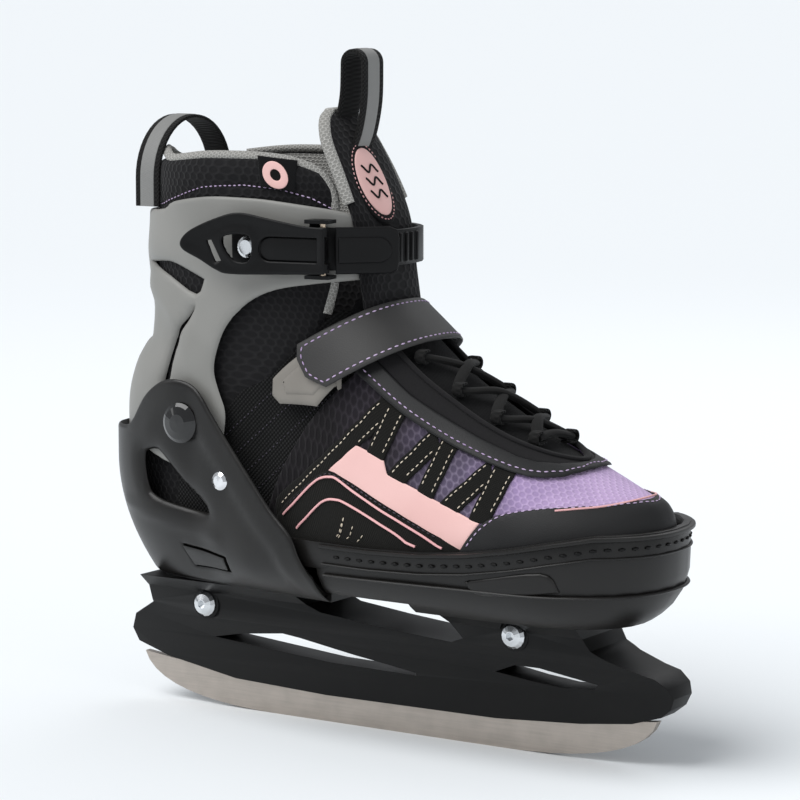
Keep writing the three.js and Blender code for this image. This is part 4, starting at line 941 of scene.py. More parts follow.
def make_cuff():
    edge = rounded(CUFF_EDGE, closed=False, steps=4, corners=(16, 17))
    side = [(shaft_turn_at(x, z), z) for x, z in edge]
    side = [p for p in side if p[0] > 0.5]
    outline = stepped([(0, 126)] + side + [(0, 230)] + [(-w, z) for w, z in side[::-1]], 2.5)
    triangle = stepped(rounded(CUFF_TRIANGLE, steps=3, corners=(0, 3)), 2)
    slit = stepped(rounded(CUFF_SLIT, steps=3, corners=(0, 3)), 2)
    holes = [from_side(triangle, OUTER), from_side(slit, OUTER), from_side(triangle, INNER),
             from_side(slit, INNER)]
    opening = rounded([(-25, 172), (25, 172), (29, 176), (25, 198), (-25, 198), (-29, 176)], steps=3)
    holes.append(stepped(opening, 2))
    front = [(w, z) for w, z in side if 121 < z < 203 and w > 40]
    fronts = [[(sign * w, z) for w, z in front + front[::-1]] for sign in (-1, 1)]
    ridge = rounded(CUFF_RIDGE, closed=False, steps=4)
    ridges = [from_side(ridge + ridge[::-1], sign) for sign in (OUTER, INNER)]

    def relief(flat):
        rim = np.clip((8 - edge_distance(flat, fronts)) / 3.5, 0, 1)
        rim = rim * rim * (3 - 2 * rim) * 1.2
        ridge_height = 1.3 * np.exp(-(edge_distance(flat, ridges) / 4) ** 2)
        funnel = np.clip(1 - edge_distance(flat, holes) / 5, 0, 1) ** 2 * 1.2
        belly = 1.3 * np.exp(-((flat[:, 1] - 212) / 9) ** 2) * np.clip(1 - np.abs(flat[:, 0]) / 60, 0, 1)
        return rim + ridge_height + belly - funnel

    shell = panel("cuff_shell", outline, on_shaft, GREY_PLASTIC, "cuff", holes=holes, cell=(3, 3), lift=3.4,
                  thickness=2.6,
                  edge=1.8, drop=1.1, relief=relief, flip=True, sharp=50)
    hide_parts("cuff")


def make_shells():
    make_heel_shell()
    make_toe_shell()
    make_cuff()
    refined("size_button", "push_button", BLACK_PLASTIC, 0.6)
    dressed(GLOSS_BLACK, "pivot_bolt_outer", "pivot_bolt_inner")
    dressed(CHROME, "arm_rivet_outer", "arm_rivet_inner")


BUCKLE_PIN = Vector((-10.5, -37.5, 0))
BUCKLE_MIDDLE = 216.8
LEVER_THICK, PLATE_THICK = 3.4, 2.6
LEVER = [(2.6, 226.8), (-7.7, 227.3), (-24, 230), (-37.7, 232.2), (-48, 230.2), (-61.5, 224.5),
         (-67, 219.5), (-66.2, 215.4),
         (-58, 211.3), (-50, 207), (-43, 205.3), (-22, 205.8), (2.6, 206.6)]
CATCH_PLATE = [(5.4, 226.8), (29.4, 226.8), (32.6, 225.4), (33.4, 222), (33.4, 211.3), (32.6, 207.9),
               (29.4, 206.5),
               (5.4, 206.5)]
LEVER_WINDOW = [(-33.5, 222), (-45, 222), (-46.5, 218), (-41, 211.4), (-33.5, 211.8)]
LEVER_SLIT = [(-54.5, 219.6), (-52.3, 220), (-47.6, 211), (-50, 210.4)]


def turned_plate(angle):
    """Places on the outer face of a plate that is turned about the lever's pin."""
    turn = Matrix.Rotation(math.radians(angle), 4, "Z")

    def place(u, z, offset=0.0):
        return BUCKLE_PIN + turn @ Vector((u, -offset, 0)) + Vector((0, 0, z))

    return place


END_STEPS = 12


def end_round(start, end, half):
    """A slot's outline: square at its start, round at its end."""
    way = math.copysign(1, end - start)
    turns = [math.pi / 2 - math.pi * i / END_STEPS for i in range(END_STEPS + 1)]
    bow = [(end + way * half * math.cos(a), BUCKLE_MIDDLE + half * math.sin(a)) for a in turns]
    return [(start, BUCKLE_MIDDLE + half), *bow, (start, BUCKLE_MIDDLE - half)]


def make_buckle():
    lever_face, plate_face = turned_plate(9), turned_plate(44)
    outline = stepped(rounded(LEVER, steps=5, corners=(0, 12)), 1.6)
    window = stepped(rounded(LEVER_WINDOW, steps=4), 1.5)
    holes = [window, stepped(LEVER_SLIT, 1.5), stepped(end_round(-1.4, -24, 5.3), 1.5)]

    def raised_rim(flat):
        rim = np.clip((3.2 - edge_distance(flat, [outline])) / 1.2, 0, 1)
        round_window = np.clip((2.6 - edge_distance(flat, holes[:1])) / 1.2, 0, 1)
        rise = np.maximum(rim, round_window)
        return rise * rise * (3 - 2 * rise) * 0.7

    lever = panel("lever", outline, lever_face, BUCKLE_PLASTIC, "buckle_lever", holes=holes, cell=(2, 2),
                  lift=LEVER_THICK, thickness=LEVER_THICK, edge=0.9, drop=0.7, relief=raised_rim, sharp=55)
    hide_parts("buckle_lever")
    for mark, low, high in (("lower", 206.9, 210.9), ("upper", 222.7, 226.6)):
        barrel = [tuple(lever_face(0, z, -0.4)) for z in np.linspace(low, high, 5)]
        sweep(f"lever_knuckle_{mark}", barrel, 2.6, 2.6, BUCKLE_PLASTIC, "buckle_lever", up=(0, -1, 0),
              sides=16,
              power=2.6)
    refined("tab", "release_tab", BUCKLE_PLASTIC, 0.5)
    refined("carrier", "buckle_base", BUCKLE_PLASTIC, 0.4)
    plate = panel("catch_plate", stepped(CATCH_PLATE[::-1], 1.8), plate_face, BUCKLE_PLASTIC, "cuff",
                  cell=(2, 2),
                  lift=PLATE_THICK, thickness=PLATE_THICK, edge=0.9, drop=0.7, sharp=55)
    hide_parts("front_plate")
    pad = stepped(end_round(6.4, 24.4, 5.6)[::-1], 1.5)
    panel("catch_pad", pad, plate_face, BUCKLE_PLASTIC, "cuff", cell=(2, 2), lift=PLATE_THICK + 0.9,
          thickness=1.4,
          edge=0.9, drop=0.7, sharp=55)
    refined("ladder", "ladder_strap", BUCKLE_PLASTIC, 0.4)
    dressed(BRASS, "lever_pin")
    dressed(ZINC, "buckle_screw", "ladder_screw")


# ---------- forefoot ----------


def ride_forefoot(piece):
    """The back of the forefoot is sewn to the heel; here the piece only has its placement baked into its
    mesh and rides no body.
    """
    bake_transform(piece)


THROAT = [(6, 18.5), (30, 19.5), (55, 20.4), (66, 20), (75, 18.6), (84, 15.6), (91, 11.8), (96.5, 6),
          (98.6, 0)]
EYESTAY_EDGE = [(-6, 36.5), (6, 37.4), (19, 37.7), (42, 37.1), (54, 36.8), (69, 35.8), (80, 34.2),
                (88, 32.3),
                (94, 29), (100.5, 22), (104, 11), (105, 0)]
EYESTAY_INNER = [(-6, 28.5), (6, 29), (30, 29.5), (62, 27.8), (80, 25.6), (88, 22.6), (95, 16), (99, 8),
                 (100.6, 0)]
CAP_EDGE = [(62, 88), (62.6, 80), (64.2, 71.2), (70, 64), (76, 58.2), (80.3, 54.8), (92, 48.6), (106, 41),
            (118.7, 31),
            (126, 19), (129.6, 9), (130.6, 0)]
VAMP_THROAT = [(6, 30), (30, 30.5), (62, 28.8), (80, 26.6), (89, 23.4), (96, 16.6), (100.4, 8.3),
               (101.8, 0)]
VAMP_FRONT = [(72, 88), (72, 72), (84, 60), (100, 50), (122, 36), (133, 20), (135, 0)]
REAR_SEAM = [(-50, 86), (-47, 76), (-41.7, 70.2), (-24.9, 59.2), (-7.7, 46.8), (2, 38)]


def both_sides(edge):
    """An edge given on one side, run from the outer side over the middle to the inner side."""
    return [(u, -v) for u, v in edge] + [(u, v) for u, v in reversed(edge) if v > 0]


def make_vamp():
    rear_outer = [(u, -v) for u, v in REAR_SEAM]
    rear_inner = [(u, v) for u, v in reversed(REAR_SEAM)]
    front = both_sides(VAMP_FRONT)
    outline = stepped(rear_outer + both_sides(VAMP_THROAT) + rear_inner + front[::-1], 3.0)
    piece = panel("vamp_body", outline, on_foot, VAMP_KNIT, None, cell=(3, 3), thickness=2.0, edge=0.8)
    ride_forefoot(piece)
    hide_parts("vamp")


BAND_SEAMS = [  # the two rows of stitches of each slanting band, from their tops
    ([(22.6, -38.6), (20, -46.6), (16.4, -53.6)], [(28.4, -37.7), (26, -45.8), (22.5, -53.1)]),
    ([(42.8, -37.1), (36.6, -47), (28.6, -55.5)], [(45.8, -42), (40.5, -49.1), (34.4, -55.5)]),
    ([(48.8, -36.5), (46.6, -46.7), (43, -55.9)], [(54, -37.3), (51.9, -47.1), (48.4, -56)]),
    ([(70.1, -36.2), (63.6, -47.3), (55.1, -56.7)], [(71.8, -44.1), (67.1, -51.2), (61.6, -57.5)]),
    ([(74.1, -36), (72.6, -47.7), (69.3, -58.2)], [(81, -35.4), (79.8, -46.3), (77.1, -56.2)]),
]
BAND_MARGIN, BAND_REACH = 1.3, 3.0  # how far the cloth goes beyond its stitches, to the side and at the ends
LONG_SEAMS = [[(18.2, -39.5), (10.5, -48.4), (1.3, -55.3), (-9.1, -60.9), (-20.3, -65.4), (-31.7, -68.8)],
              [(19.3, -45), (14.8, -49.6), (9.9, -53.5)]]
LONG_BAND = [(18.6, -36.4), (17.2, -38.7), (9.6, -47.5), (0.6, -54.2), (-9.7, -59.7), (-20.8, -64.2),
             (-35.2, -68.4),
             (-35, -70.6), (-26.8, -68.4), (-13.2, -64.2), (-5.4, -62.1), (8.9, -54.8), (15.8, -50.4),
             (20.4, -45.4),
             (24, -38.4), (24, -36.4)]


def band(left, right):
    """A slanting band round its two rows of stitches."""
    edges = []
    for row, way in ((left, -1), (right, 1)):
        places = [Vector(p) for p in row]
        top, foot = (places[0] - places[1]).normalized(), (places[-1] - places[-2]).normalized()
        places[0], places[-1] = places[0] + top * BAND_REACH, places[-1] + foot * BAND_REACH
        along = (places[-1] - places[0]).normalized()
        aside = Vector((-along.y, along.x)) * way * BAND_MARGIN
        edges.append([tuple(p + aside) for p in places])
    return stepped(edges[0] + edges[1][::-1], 2.5)


PINK_PANEL = [(-5.4, -61.6), (2, -58.2), (8.9, -54.1), (23.8, -53.7), (25.8, -56.4), (41.7, -56.3),
              (57.4, -57.5),
              (73, -60.1), (64.5, -72), (61.6, -72), (52.9, -68.8), (42.9, -66.6), (22.3, -64.2),
              (2.5, -62.4)]
BAND_UPPER = [(-36, -74), (-34.2, -70), (-26.8, -67.9), (-19.6, -65.9), (-13.2, -63.8), (-9.3, -62.5),
              (-5.4, -61.6),
              (-1.4, -61.4), (8.7, -62.2), (19.3, -63.3), (31.3, -64.3), (42.9, -65.7), (54.3, -67.9),
              (64.5, -71)]
BAND_LOWER = [(64.5, -84), (40, -84), (0, -84), (-30, -84), (-40, -82)]
PIPING_OUTER = [(-30.1, -69.8), (-24.4, -68.4), (-19.6, -66.9), (-13.2, -64.7), (-9.2, -63.5),
                (-4.5, -62.7), (0.3, -62.5),
                (10.3, -63.9), (22.5, -65.3), (34.4, -66.6), (45.9, -68.5), (55.8, -71.4)]
PIPING_INNER = [(-22.3, -70.7), (-17.1, -69.7), (-11.4, -68.1), (-7.9, -67.1), (-4.2, -66.4), (-0.3, -66.1),
                (3.6, -66.1),
                (12, -66.9), (22.6, -68.1), (33, -69.6), (42.3, -72)]


def make_vamp_art():
    for side, mark in SIDES:

        def shown(points, side=side):
            return points if side == OUTER else mirrored(points)

        for i, flat in enumerate([stepped(LONG_BAND, 2.5)] + [band(a, b) for a, b in BAND_SEAMS]):
            ride_forefoot(panel(f"band_{mark}_{i + 1}", shown(flat), on_foot, BAND_CLOTH, lift=0.9,
                                thickness=1.0,
                                edge=0.7, drop=0.5))
        rows = LONG_SEAMS + [list(seam) for pair in BAND_SEAMS for seam in pair]
        ride_forefoot(stitches(f"band_stitches_{mark}", [shown(r) for r in rows], on_foot, CREAM_THREAD,
                               lift=1.1,
                               pitch=2.7, length=1.9, radius=0.3))
        pink = panel(f"pink_panel_{mark}", shown(stepped(PINK_PANEL, 2.5)), on_foot, PINK_FILM, None,
                     cell=(3, 3),
                     lift=1.0, thickness=0.9, edge=0.7, drop=0.5)
        ride_forefoot(pink)
        chevron = panel(f"chevron_{mark}", shown(stepped(BAND_UPPER + BAND_LOWER, 2.5)), on_foot,
                        BAND_CLOTH, None,
                        cell=(3, 3), lift=1.3, thickness=1.1, edge=0.8, drop=0.6)
        ride_forefoot(chevron)
        for label, path in (("upper", PIPING_OUTER), ("lower", PIPING_INNER)):
            flat = stepped(rounded(shown(path), closed=False), 1.5, closed=False)
            line = [on_foot(u, v, 1.6) for u, v in flat]
            piping = sweep(f"piping_{label}_{mark}", line, 0.55, 0.45, PIPING, None, up=(0, side, 0.3),
                           sides=8)
            ride_forefoot(piping)
        edge_row = [(u, v - 0.6) for u, v in BAND_UPPER[2:-1]]
        slants = [[(4.6, -68.4), (1.6, -71), (-1.6, -73.6)], [(9.6, -69.4), (4.6, -73.6)],
                  [(14.9, -70.4), (10.4, -74)],
                  [(4.6, -68.4), (0.6, -73.6)]]
        rows = [shown(slant) for slant in slants]
        ride_forefoot(stitches(f"slant_stitches_{mark}", rows, on_foot, CREAM_THREAD, lift=1.5, pitch=2.7,
                               length=1.9,
                               radius=0.3))
        sewn = stitches(f"chevron_stitches_{mark}", [shown(edge_row)], on_foot,
                        DARK_THREAD, None, lift=1.5, pitch=2.7, length=1.9, radius=0.3)
        ride_forefoot(sewn)


def make_toe_cap():
    tip = [(140.2, 88), (140.2, -88)]
    outline = stepped(both_sides(CAP_EDGE) + tip, 3.0)
    piece = panel("toe_leather_cap", outline, on_foot, TOE_LEATHER, "toe_shell", cell=(2.5, 3), lift=1.2,
                  thickness=1.8,
                  edge=1.0, drop=0.7)
    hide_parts("toe_cap")
    row = both_sides([(u + 3.2, max(v - 1.2, 0)) for u, v in CAP_EDGE if v < 74])
    stitches("cap_stitches", [row], on_foot, PURPLE_THREAD, "toe_shell", lift=1.3, pitch=3.0, length=2.1,
             radius=0.32)
    trim = [(104, -44.5), (110, -40.5), (118, -33.5), (124, -25), (128, -14), (129.6, 0)]
    line = [on_foot(u, v, 1.2) for u, v in stepped(rounded(both_sides([(u, -v) for u, v in trim]),
                                                           closed=False), 2, False)]
    sweep("cap_trim", line, 0.5, 0.45, PIPING, "toe_shell", sides=8)


def make_eyestay():
    outline = both_sides(EYESTAY_EDGE) + both_sides(EYESTAY_INNER)[::-1]
    piece = panel("eyestay_leather", stepped(outline, 2.5), on_foot, TOE_LEATHER, "toe_shell", cell=(3, 3),
                  lift=2.2,
                  thickness=1.8, edge=1.0, drop=0.7)
    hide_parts("eyestay")
    row = both_sides([(u - 1.2 * (u > 80), v - 2.4 if v > 10 else v) for u,
                      v in EYESTAY_EDGE[:-1]] + [(102.4, 0)])
    stitches("eyestay_stitches", [row], on_foot, PURPLE_THREAD, "toe_shell", lift=2.35, pitch=3.2,
             length=2.2, radius=0.33)
    inner = both_sides([(u + 0.6, v) for u, v in EYESTAY_INNER]) + both_sides([(u,
                                                                                v - 0.5 if v else v) for u,
                                                                                v in THROAT])[::-1]
    panel("throat_binding", stepped(inner, 2.5), on_foot, BINDING, "toe_shell", cell=(3, 3), lift=1.5,
          thickness=1.4,
          edge=1.4, drop=1.0)
    line = [on_foot(u, v, 1.7) for u, v in stepped(rounded(both_sides(THROAT), closed=False), 1.6, False)]
    sweep("throat_edge", line, 1.5, 1.1, BINDING, "toe_shell", sides=10)


LOWER_TONGUE = [(-8, 22), (10, 23), (40, 23.5), (66, 23), (84, 18), (94, 12), (101, 5), (102, 0)]


def make_lower_tongue():
    piece = panel("tongue_front", stepped(both_sides(LOWER_TONGUE), 3), on_foot, BLACK_CLOTH, "toe_shell",
                  cell=(3, 3), lift=-1.2, thickness=2.4)
    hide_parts("tongue_lower")


# x of the outer end, x of the inner end, distance from the middle
LACE_PAIRS = [(27, 34, 15.5), (46, 51, 15.5), (65, 69, 15), (82, 85, 11.8)]
LACE_LIFT = 3.6
LACE_RADIUS = 2.2


def lace_turn(pair, side):
    outer_x, inner_x, y = pair
    x = outer_x if side == OUTER else inner_x
    place = on_foot(x, foot_turn_at(x, y))
    return Vector((x, side * y, place.z + LACE_LIFT))


def make_laces():
    def over(a, b, lift):
        x = (a.x + b.x) / 2
        return Vector((x, 0, on_foot(x, 0.01).z + LACE_LIFT + lift))

    def strand(side, lift):
        points = []
        for pair in LACE_PAIRS:
            here = lace_turn(pair, side)
            if points:
                points.append(over(points[-1], here, lift))
            points.append(here)
            side = -side
        return points

    outer, inner = strand(OUTER, 0.4), strand(INNER, 1.6)
    bar = [outer[-1], over(outer[-1], inner[-1], 0.3), inner[-1]]
    for name, path in (("lace_first", outer), ("lace_second", inner), ("lace_bar", bar)):
        flat = [tuple(p) for p in path]
        sweep(name, rounded(flat, closed=False, steps=10), LACE_RADIUS * 1.15,
                            LACE_RADIUS * 0.75,
                            LACE_CORD, "toe_shell")
    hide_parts("lace")
    for i, pair in enumerate(LACE_PAIRS):
        for side, mark in SIDES:
            centre = lace_turn(pair, side)
            room = LACE_RADIUS + 0.8
            fold = []
            for k in range(13):
                a = math.radians(-100 + 200 * k / 12)
                fold.append(centre + Vector((0, side * room * math.cos(a), room * math.sin(a) * 0.85)))
            fold = [fold[0] + Vector((0, -side * 4, 0.6)), *fold, fold[-1] + Vector((0, -side * 1.5, 0))]
            piece = sweep(f"lace_loop_{mark}_band_{i + 1}", [tuple(p) for p in fold], 0.6, 2.4, WEBBING,
                          "toe_shell",
                          up=(1, 0, 0), power=6, sides=16)
            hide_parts(f"lace_loop_{mark}_{i + 1}")


# ---------- instep strap and its patch ----------

STRAP_ANGLE = math.radians(30.5)
STRAP_MIDDLE = Vector((1, 0, 176))
STRAP_ALONG = Vector((math.cos(STRAP_ANGLE), 0, math.sin(STRAP_ANGLE)))
STRAP_ACROSS = Vector((-math.sin(STRAP_ANGLE), 0, math.cos(STRAP_ANGLE)))
STRAP_LIFT, STRAP_THICK, STRAP_HALF = 5.2, 2.6, 12
STRAP_TURN = 0.8  # flat length for each degree round the instep


def foot_excess(place, offset):
    """Below zero inside the forefoot, above zero outside it."""
    top, half, power = smooth_row(FOOT_ROWS, place.x)
    rise = max(place.z - FOOT_WIDEST, 0) / (top - FOOT_WIDEST + offset)
    return (abs(place.y) / (half + offset)) ** power + rise**power - 1


def on_strap(u, s, offset=0.0):
    """A place on the instep strap's seat: u runs round the instep, s across the strap."""
    turn = math.radians(u / STRAP_TURN)
    centre = STRAP_MIDDLE + STRAP_ACROSS * s - STRAP_ALONG * 30
    ray = STRAP_ALONG * math.cos(turn) + Vector((0, math.sin(turn), 0))
    near, far = 5.0, 90.0
    for _ in range(28):
        middle = (near + far) / 2
        if foot_excess(centre + ray * middle, offset) < 0:
            near = middle
        else:
            far = middle
    return centre + ray * near


def make_strap():
    tip, hinge, anchor_end = -65, 62, 78
    outline = [(tip + 9, -STRAP_HALF), (hinge, -STRAP_HALF), (hinge, STRAP_HALF), (tip + 3, STRAP_HALF),
               (tip, 6), (tip + 1, -3)]
    lift = STRAP_LIFT + STRAP_THICK
    strap = panel("instep_band", stepped(outline, 2.5), on_strap, STRAP_LEATHER, "instep_strap",
                  cell=(3, 4), lift=lift,
                  thickness=STRAP_THICK, edge=1.3, drop=0.9)
    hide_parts("instep_strap")
    row = [(hinge, -9.6), (tip + 9, -9.6), (tip + 3.4, -2.4), (tip + 2.8, 5.6), (tip + 5, 9.6),
           (hinge, 9.6)]
    stitches("strap_stitches", [row], on_strap, PURPLE_THREAD, "instep_strap", lift=lift + 0.1)
    anchor = [(hinge + 0.7, -STRAP_HALF), (anchor_end, -STRAP_HALF), (anchor_end, STRAP_HALF),
              (hinge + 0.7, STRAP_HALF)]
    fixed = panel("strap_end", stepped(anchor, 2.5), on_strap, STRAP_LEATHER, "toe_shell", cell=(3, 4),
                  lift=lift,
                  thickness=lift - 0.6, edge=1.3, drop=0.9)
    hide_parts("strap_anchor")


PATCH = [(-36.8, -49.8), (-24.4, -42.4), (-0.8, -42.2), (-11.7, -50.7), (-32.2, -53.8), (-36.4, -53)]


def make_patch():
    outline = stepped(PATCH, 1.5)
    base = panel("patch_base", outline, on_foot, PATCH_RUBBER, "toe_shell", cell=(2.5, 2.5), lift=4.4,
                 thickness=3.8,
                 edge=1.6, drop=1.2)
    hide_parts("strap_patch")
    inset = [(-31, -49.6), (-22.6, -44.6), (-7, -44.4), (-13.5, -49), (-28, -51.6)]
    panel("patch_relief", stepped(inset, 1.5), on_foot, PATCH_RUBBER, "toe_shell", cell=(2, 2), lift=5.1,
          thickness=1.0, edge=1.0, drop=0.8)


# ---------- ankle: stretch gussets, liner, collar ----------

SEAM_START, SEAM_ALONG = Vector((-44, 100)), Vector((36.3, 53.7)).normalized()


def on_gusset(x, z, side, offset=0.0):
    """Between the ankle and the forefoot, where the stretch fabric joins them."""
    ahead = (Vector((x, z)) - SEAM_START).dot(Vector((SEAM_ALONG.y, -SEAM_ALONG.x)))
    share = eased(ahead, -34, 2)
    top, half, power = smooth_row(FOOT_ROWS, x)
    rise = min(max(z - FOOT_WIDEST, 0) / (top - FOOT_WIDEST), 0.98)
    on_forefoot = half * (1 - rise**power) ** (1 / power) - 2.6
    y = shaft_half_at(x, z) * (1 - share) + on_forefoot * share + offset
    return Vector((x, side * y, z))


def make_gussets():
    outline = [(-92, 118), (-80, 131), (-66, 144.5), (-52, 156.5), (-26, 178), (-10, 190), (4, 184),
               (6, 166), (-4, 146),
               (-22, 122), (-34, 100), (-38, 88), (-80, 88), (-96, 100)]
    rows = [[(-76 + d, 131 - d * 1.25), (-24 + d, 173.5 - d * 1.25)] for d in (3.5, 9.5, 15.5, 21.5, 27.5)]
    for side, mark in SIDES:
        def place(u, v, offset, side=side):
            return on_gusset(u, v, side, offset)

        piece = panel(f"gusset_{mark}", stepped(outline, 3), place, STRETCH, None, cell=(3, 3), lift=-0.6,
                      thickness=1.6,
                      flip=side == INNER)
        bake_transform(piece)
        sewn = stitches(f"gusset_stitches_{mark}", rows, place, DARK_THREAD, None, pitch=2.6, length=1.2,
                        radius=0.34,
                        lift=-0.5)
        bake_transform(sewn)


HEEL_LINER = [(130, 80), (118, 104), (104, 122), (86, 136), (60, 142)]


def make_heel_liner():
    outline = [(-130, 80)] + HEEL_LINER + [(-w, z) for w, z in HEEL_LINER[:0:-1]]
    piece = panel("heel_padding", stepped(outline, 4), on_shaft, BLACK_KNIT, "root", cell=(4, 4), lift=-2.8,
                  thickness=3.0,
                  flip=True)
    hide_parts("heel_liner")


COLLAR_SIDE = [(-98, 253.4), (-75, 255.8), (-48, 256), (-32, 254.2), (-21, 249.5), (-14.5, 242),
               (-12.8, 232), (-12.2, 215),
               (-13, 200), (-15, 188), (-20, 176.5), (-26.5, 173), (-50.3, 152.5), (-64, 140.5),
               (-76, 130.5), (-84, 127)]
TONGUE_ROOM = 22.3


def collar_outline():
    sides = []
    for x, z in COLLAR_SIDE:
        w = shaft_turn_at(x, z)
        _, _, half = smooth_row(SHAFT_ROWS, z)
        most = math.pi - math.asin((TONGUE_ROOM / half) ** (SHAFT_POWER / 2))
        sides.append((min(w, most * SHAFT_TURN), z))
    outer = [(-w, z) for w, z in sides]
    return [(0, 251.8)] + outer + [(0, 126)] + sides[::-1]


STITCH_CURVE = [(-112, 232), (-104, 233), (-92, 237), (-76.7, 241.7), (-54.3, 243.3), (-36.1, 242),
                (-22, 238.2), (-13.5, 233)]


def make_collar():
    outline = stepped(collar_outline(), 3)
    curve = stepped([(-w, z) for w, z in from_side(STITCH_CURVE, INNER)], 2, False)
    seam = np.array(curve + [(-w, z) for w, z in curve[::-1]], float)

    def relief(flat):
        groove = edge_distance(flat, [seam])
        top = np.exp(-((flat[:, 1] - 249) / 7.0) ** 2) * 1.0
        return top - 1.1 * np.exp(-(groove / 1.6) ** 2)

    piece = panel("collar_padding", outline, on_shaft, BLACK_KNIT, None, cell=(3, 3), lift=0, thickness=4.6,
                  edge=5.0,
                  drop=2.0, relief=relief, flip=True)
    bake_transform(piece)
    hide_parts("collar")
    for side, mark in SIDES:
        stitches(f"collar_stitches_{mark}", [from_side(STITCH_CURVE, side)], on_shaft, PURPLE_THREAD,
                 "cuff", lift=-0.3,
                 pitch=2.6, length=1.8, radius=0.32)
    top = collar_outline()
    inner = [p for p in top if p[0] > 0 and p[1] > 184][::-1]
    outer = [p for p in top if p[0] < 0 and p[1] > 184]
    rim = rounded([(w, z) for w, z in outer[::-1]] + [(0, 251.8)] + inner[::-1], closed=False, steps=6)
    line = [on_shaft(w, z, -1.9) for w, z in stepped(rim, 2.2, False)]
    middle = Vector((-62, 0, 215))
    sweep("collar_binding", [tuple(p) for p in line], 2.2, 1.6, GREY_MESH, "cuff",
          up=lambda i: tuple((line[i] - middle).normalized()), power=2.6, sides=14)
    upper = sorted((w * 0.985, z - 2) for w, z in top if z > 230)
    shape = [(upper[0][0], 222)] + upper + [(upper[-1][0], 222)]
    panel("collar_lining", stepped(shape[::-1], 3), on_shaft, GREY_MESH, "cuff", cell=(4, 4), lift=-4.7,
          thickness=0.9,
          flip=True)


def make_label():
    outline = rounded([(-47, 256.5), (-29.5, 254.6), (-29, 241), (-45, 243)], steps=4, corners=(0, 1, 2, 3))
    flat = from_side(outline, OUTER)
    panel("label", stepped(flat, 2), on_shaft, BLACK_CLOTH, "cuff", cell=(3, 3), lift=1.3, thickness=1.2,
          edge=0.7,
          drop=0.4, flip=True)
    centre = from_side([(-38, 248.2)], OUTER)[0]
    disc = [(centre[0] + u, centre[1] + v) for u, v in oval(6, 6, 32)]
    hole = [(centre[0] + u, centre[1] + v) for u, v in oval(2.5, 2.5, 20)]
    panel("label_disc", disc, on_shaft, PINK_FILM, "cuff", holes=[hole], cell=(2, 2), lift=1.7,
          thickness=0.5, edge=0.4, drop=0.3, flip=True)


# ---------- tongue, badge and webbing loops ----------

TONGUE_ROWS = [  # height, x of the middle, half width, half thickness
    (168, 4.5, 21, 2.6), (180, 3, 21.5, 3.2), (186, 2, 21.5, 3.6), (205, -1, 21.5, 4), (228, -4.5, 21.5, 4),
    (246, -12, 21, 4),
    (262, -20.5, 19, 4), (269, -24.2, 15.5, 3.6), (273, -26.3, 11.5, 2.8), (275, -27.2, 7, 1.6),
]


def make_tongue():
    bm = bmesh.new()
    rows, around = 44, 40
    bmesh.ops.create_grid(bm, x_segments=rows, y_segments=around, size=0.5)
    uv = bm.loops.layers.uv.new("flat")
    for face in bm.faces:
        for corner in face.loops:
            corner[uv].uv = (corner.vert.co.y * 90 * MM, corner.vert.co.x * 105 * MM)
    for vert in bm.verts:
        share, turn = vert.co.x + 0.5, (vert.co.y + 0.5) * math.tau
        z = 168 + 107 * (1 - (1 - share) ** 1.15)
        x, half, thick = smooth_row(TONGUE_ROWS, z)
        lean = 0.5 * eased(z, 225, 260)
        out = thick * powered(math.cos(turn), 2.7)
        vert.co = (x + out, half * powered(math.sin(turn), 2.7), z + out * lean)
    bmesh.ops.remove_doubles(bm, verts=bm.verts[:], dist=1e-3)
    bmesh.ops.holes_fill(bm, edges=[e for e in bm.edges if e.is_boundary], sides=0)
    bmesh.ops.recalc_face_normals(bm, faces=bm.faces[:])
    tongue = finished("tongue_padding", bm, BLACK_KNIT, None, 60)
    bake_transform(tongue)
    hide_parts("tongue_upper")
    edge = []
    for i in range(41):
        z = 236 + 39.6 * math.sin(min(i / 20, 2 - i / 20) * math.pi / 2)
        side = -1 if i <= 20 else 1
        x, half, _ = smooth_row(TONGUE_ROWS, min(z, 275))
        edge.append((x, side * (half if i != 20 else 0), z))
    sweep("tongue_binding", edge, 2.7, 1.2, GREY_MESH, "cuff",
          up=lambda i: (0, edge[i][1], edge[i][2] - 225), sides=14,
          power=2.6)


BADGE_LEAN = 0.44
BADGE_FOOT = Vector((-8.4, 0, 244))
BADGE_OUT = Vector((math.cos(BADGE_LEAN), 0, math.sin(BADGE_LEAN)))
BADGE_UP = Vector((-math.sin(BADGE_LEAN), 0, math.cos(BADGE_LEAN)))


def on_badge(u, v, offset=0.0):
    return BADGE_FOOT + Vector((0, u - 3.2, 0)) + BADGE_UP * v + BADGE_OUT * (offset + 1.9 - 0.006 * u * u)


def oval(half_width, half_height, count=40):
    return [(half_width * math.cos(a * math.tau / count),
             half_height * math.sin(a * math.tau / count)) for a in range(count)]


def make_badge():
    plate = panel("badge", oval(13.5, 20), on_badge, BLACK_CLOTH, "cuff", lift=0, thickness=1.9, edge=1.4,
                  drop=0.9)
    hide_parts("tongue_badge")
    panel("badge_pink", oval(10.4, 16), on_badge, PINK_FILM, "cuff", lift=0.5, thickness=0.6, edge=0.6,
          drop=0.4)
    ring = oval(12, 18)
    stitches("badge_stitches", [ring + ring[:1]], on_badge, PINK_THREAD, "cuff", lift=0.15, pitch=2.2,
             length=1.4, radius=0.3)
    for i, height in enumerate((-6, 0, 6)):
        wave = [(u, height + 1.7 * math.sin(u * 0.8)) for u in np.linspace(-5.6, 5.6, 18)]
        line = [tuple(on_badge(u, v, 0.7)) for u, v in wave]
        sweep(f"badge_wave_{i + 1}", line, 0.55, 0.35, BLACK_CLOTH, "cuff", up=tuple(BADGE_OUT), sides=8)


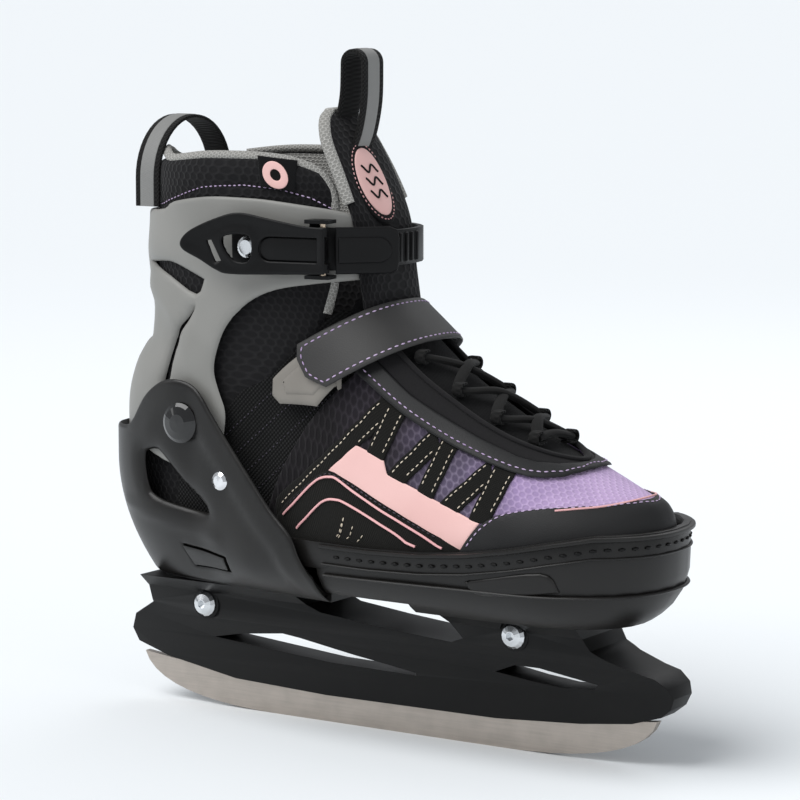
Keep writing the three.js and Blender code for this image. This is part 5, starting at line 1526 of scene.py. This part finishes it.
def make_tongue_loop():
    front_x, rear_x, fold_z, front_foot, rear_foot = -8.6, -21, 296.4, (-15.8, 257), (-24.5, 269)
    radius = (front_x - rear_x) / 2 - 0.8
    middle = (front_x + rear_x) / 2
    arc = [(middle + radius * math.cos(math.pi * k / 12), 0,
            fold_z + radius * math.sin(math.pi * k / 12)) for k in range(13)]
    front = rounded([(front_foot[0] - 0.8, 0, front_foot[1]), (-12.6, 0, 266), (-9.8, 0, 280), arc[0]],
                    closed=False, steps=5)
    rear = rounded([arc[-1], (-20.6, 0, 284), (-22, 0, 276), (rear_foot[0] + 0.8, 0, rear_foot[1])],
                   closed=False, steps=5)
    path = front[:-1] + arc + rear[1:]
    loop = sweep("front_pull", path, 8, 0.8, WEBBING, "cuff", up=lambda i: side_of(path, i, (0, 1, 0)),
                 power=8, sides=20)
    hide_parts("tongue_loop")
    length_of(path) * MM
    tape = [tuple(Vector(p) - Vector(side_of(path, i, (0, 1, 0))) * 0.75) for i, p in enumerate(path)]
    sweep("front_pull_tape", tape, 4.5, 0.25, REFLECTIVE, "cuff", up=lambda i: side_of(path, i, (0, 1, 0)),
          power=8, sides=12)


def side_of(path, i, across):
    """The direction off the face of a strip that runs along a path."""
    ahead = Vector(path[min(i + 1, len(path) - 1)]) - Vector(path[max(i - 1, 0)])
    return tuple(Vector(across).cross(ahead).normalized() * -1)


def length_of(path):
    return sum((Vector(b) - Vector(a)).length for a, b in zip(path, path[1:]))


def make_rear_loop():
    half, base, top, rear, width = 28, 231.5, 272, -118.9, 13.2
    middle, radius = rear + width / 2, 28 - 0.8
    arc = [(middle, -radius * math.cos(math.pi * k / 24),
            top - half + radius * math.sin(math.pi * k / 24)) for k in range(25)]
    path = [(middle, -radius, base), (middle, -radius, 236), *arc, (middle, radius, 236),
            (middle, radius, base)]
    path = stepped(path, 3, False)

    def up(i):
        return side_of(path, i, (1, 0, 0))

    loop = sweep("rear_pull", path, width / 2, 0.8, WEBBING, "cuff", up=up, power=8, sides=20)
    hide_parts("rear_loop")
    length_of(path) * MM
    tape = [tuple(Vector(p) - Vector(up(i)) * 0.75) for i, p in enumerate(path)]
    sweep("rear_pull_tape", tape, 3.8, 0.25, REFLECTIVE, "cuff", up=up, power=8, sides=12)


# ---------- assembly ----------

for make in (
    make_runner, make_shells, make_buckle, make_vamp, make_vamp_art,
    make_toe_cap, make_eyestay, make_lower_tongue, make_laces, make_strap,
    make_patch, make_gussets, make_heel_liner, make_collar, make_label,
    make_tongue, make_badge, make_tongue_loop, make_rear_loop,
):
    make()
dressed(FOAM_CLOTH, "heel_footbed", "toe_footbed")
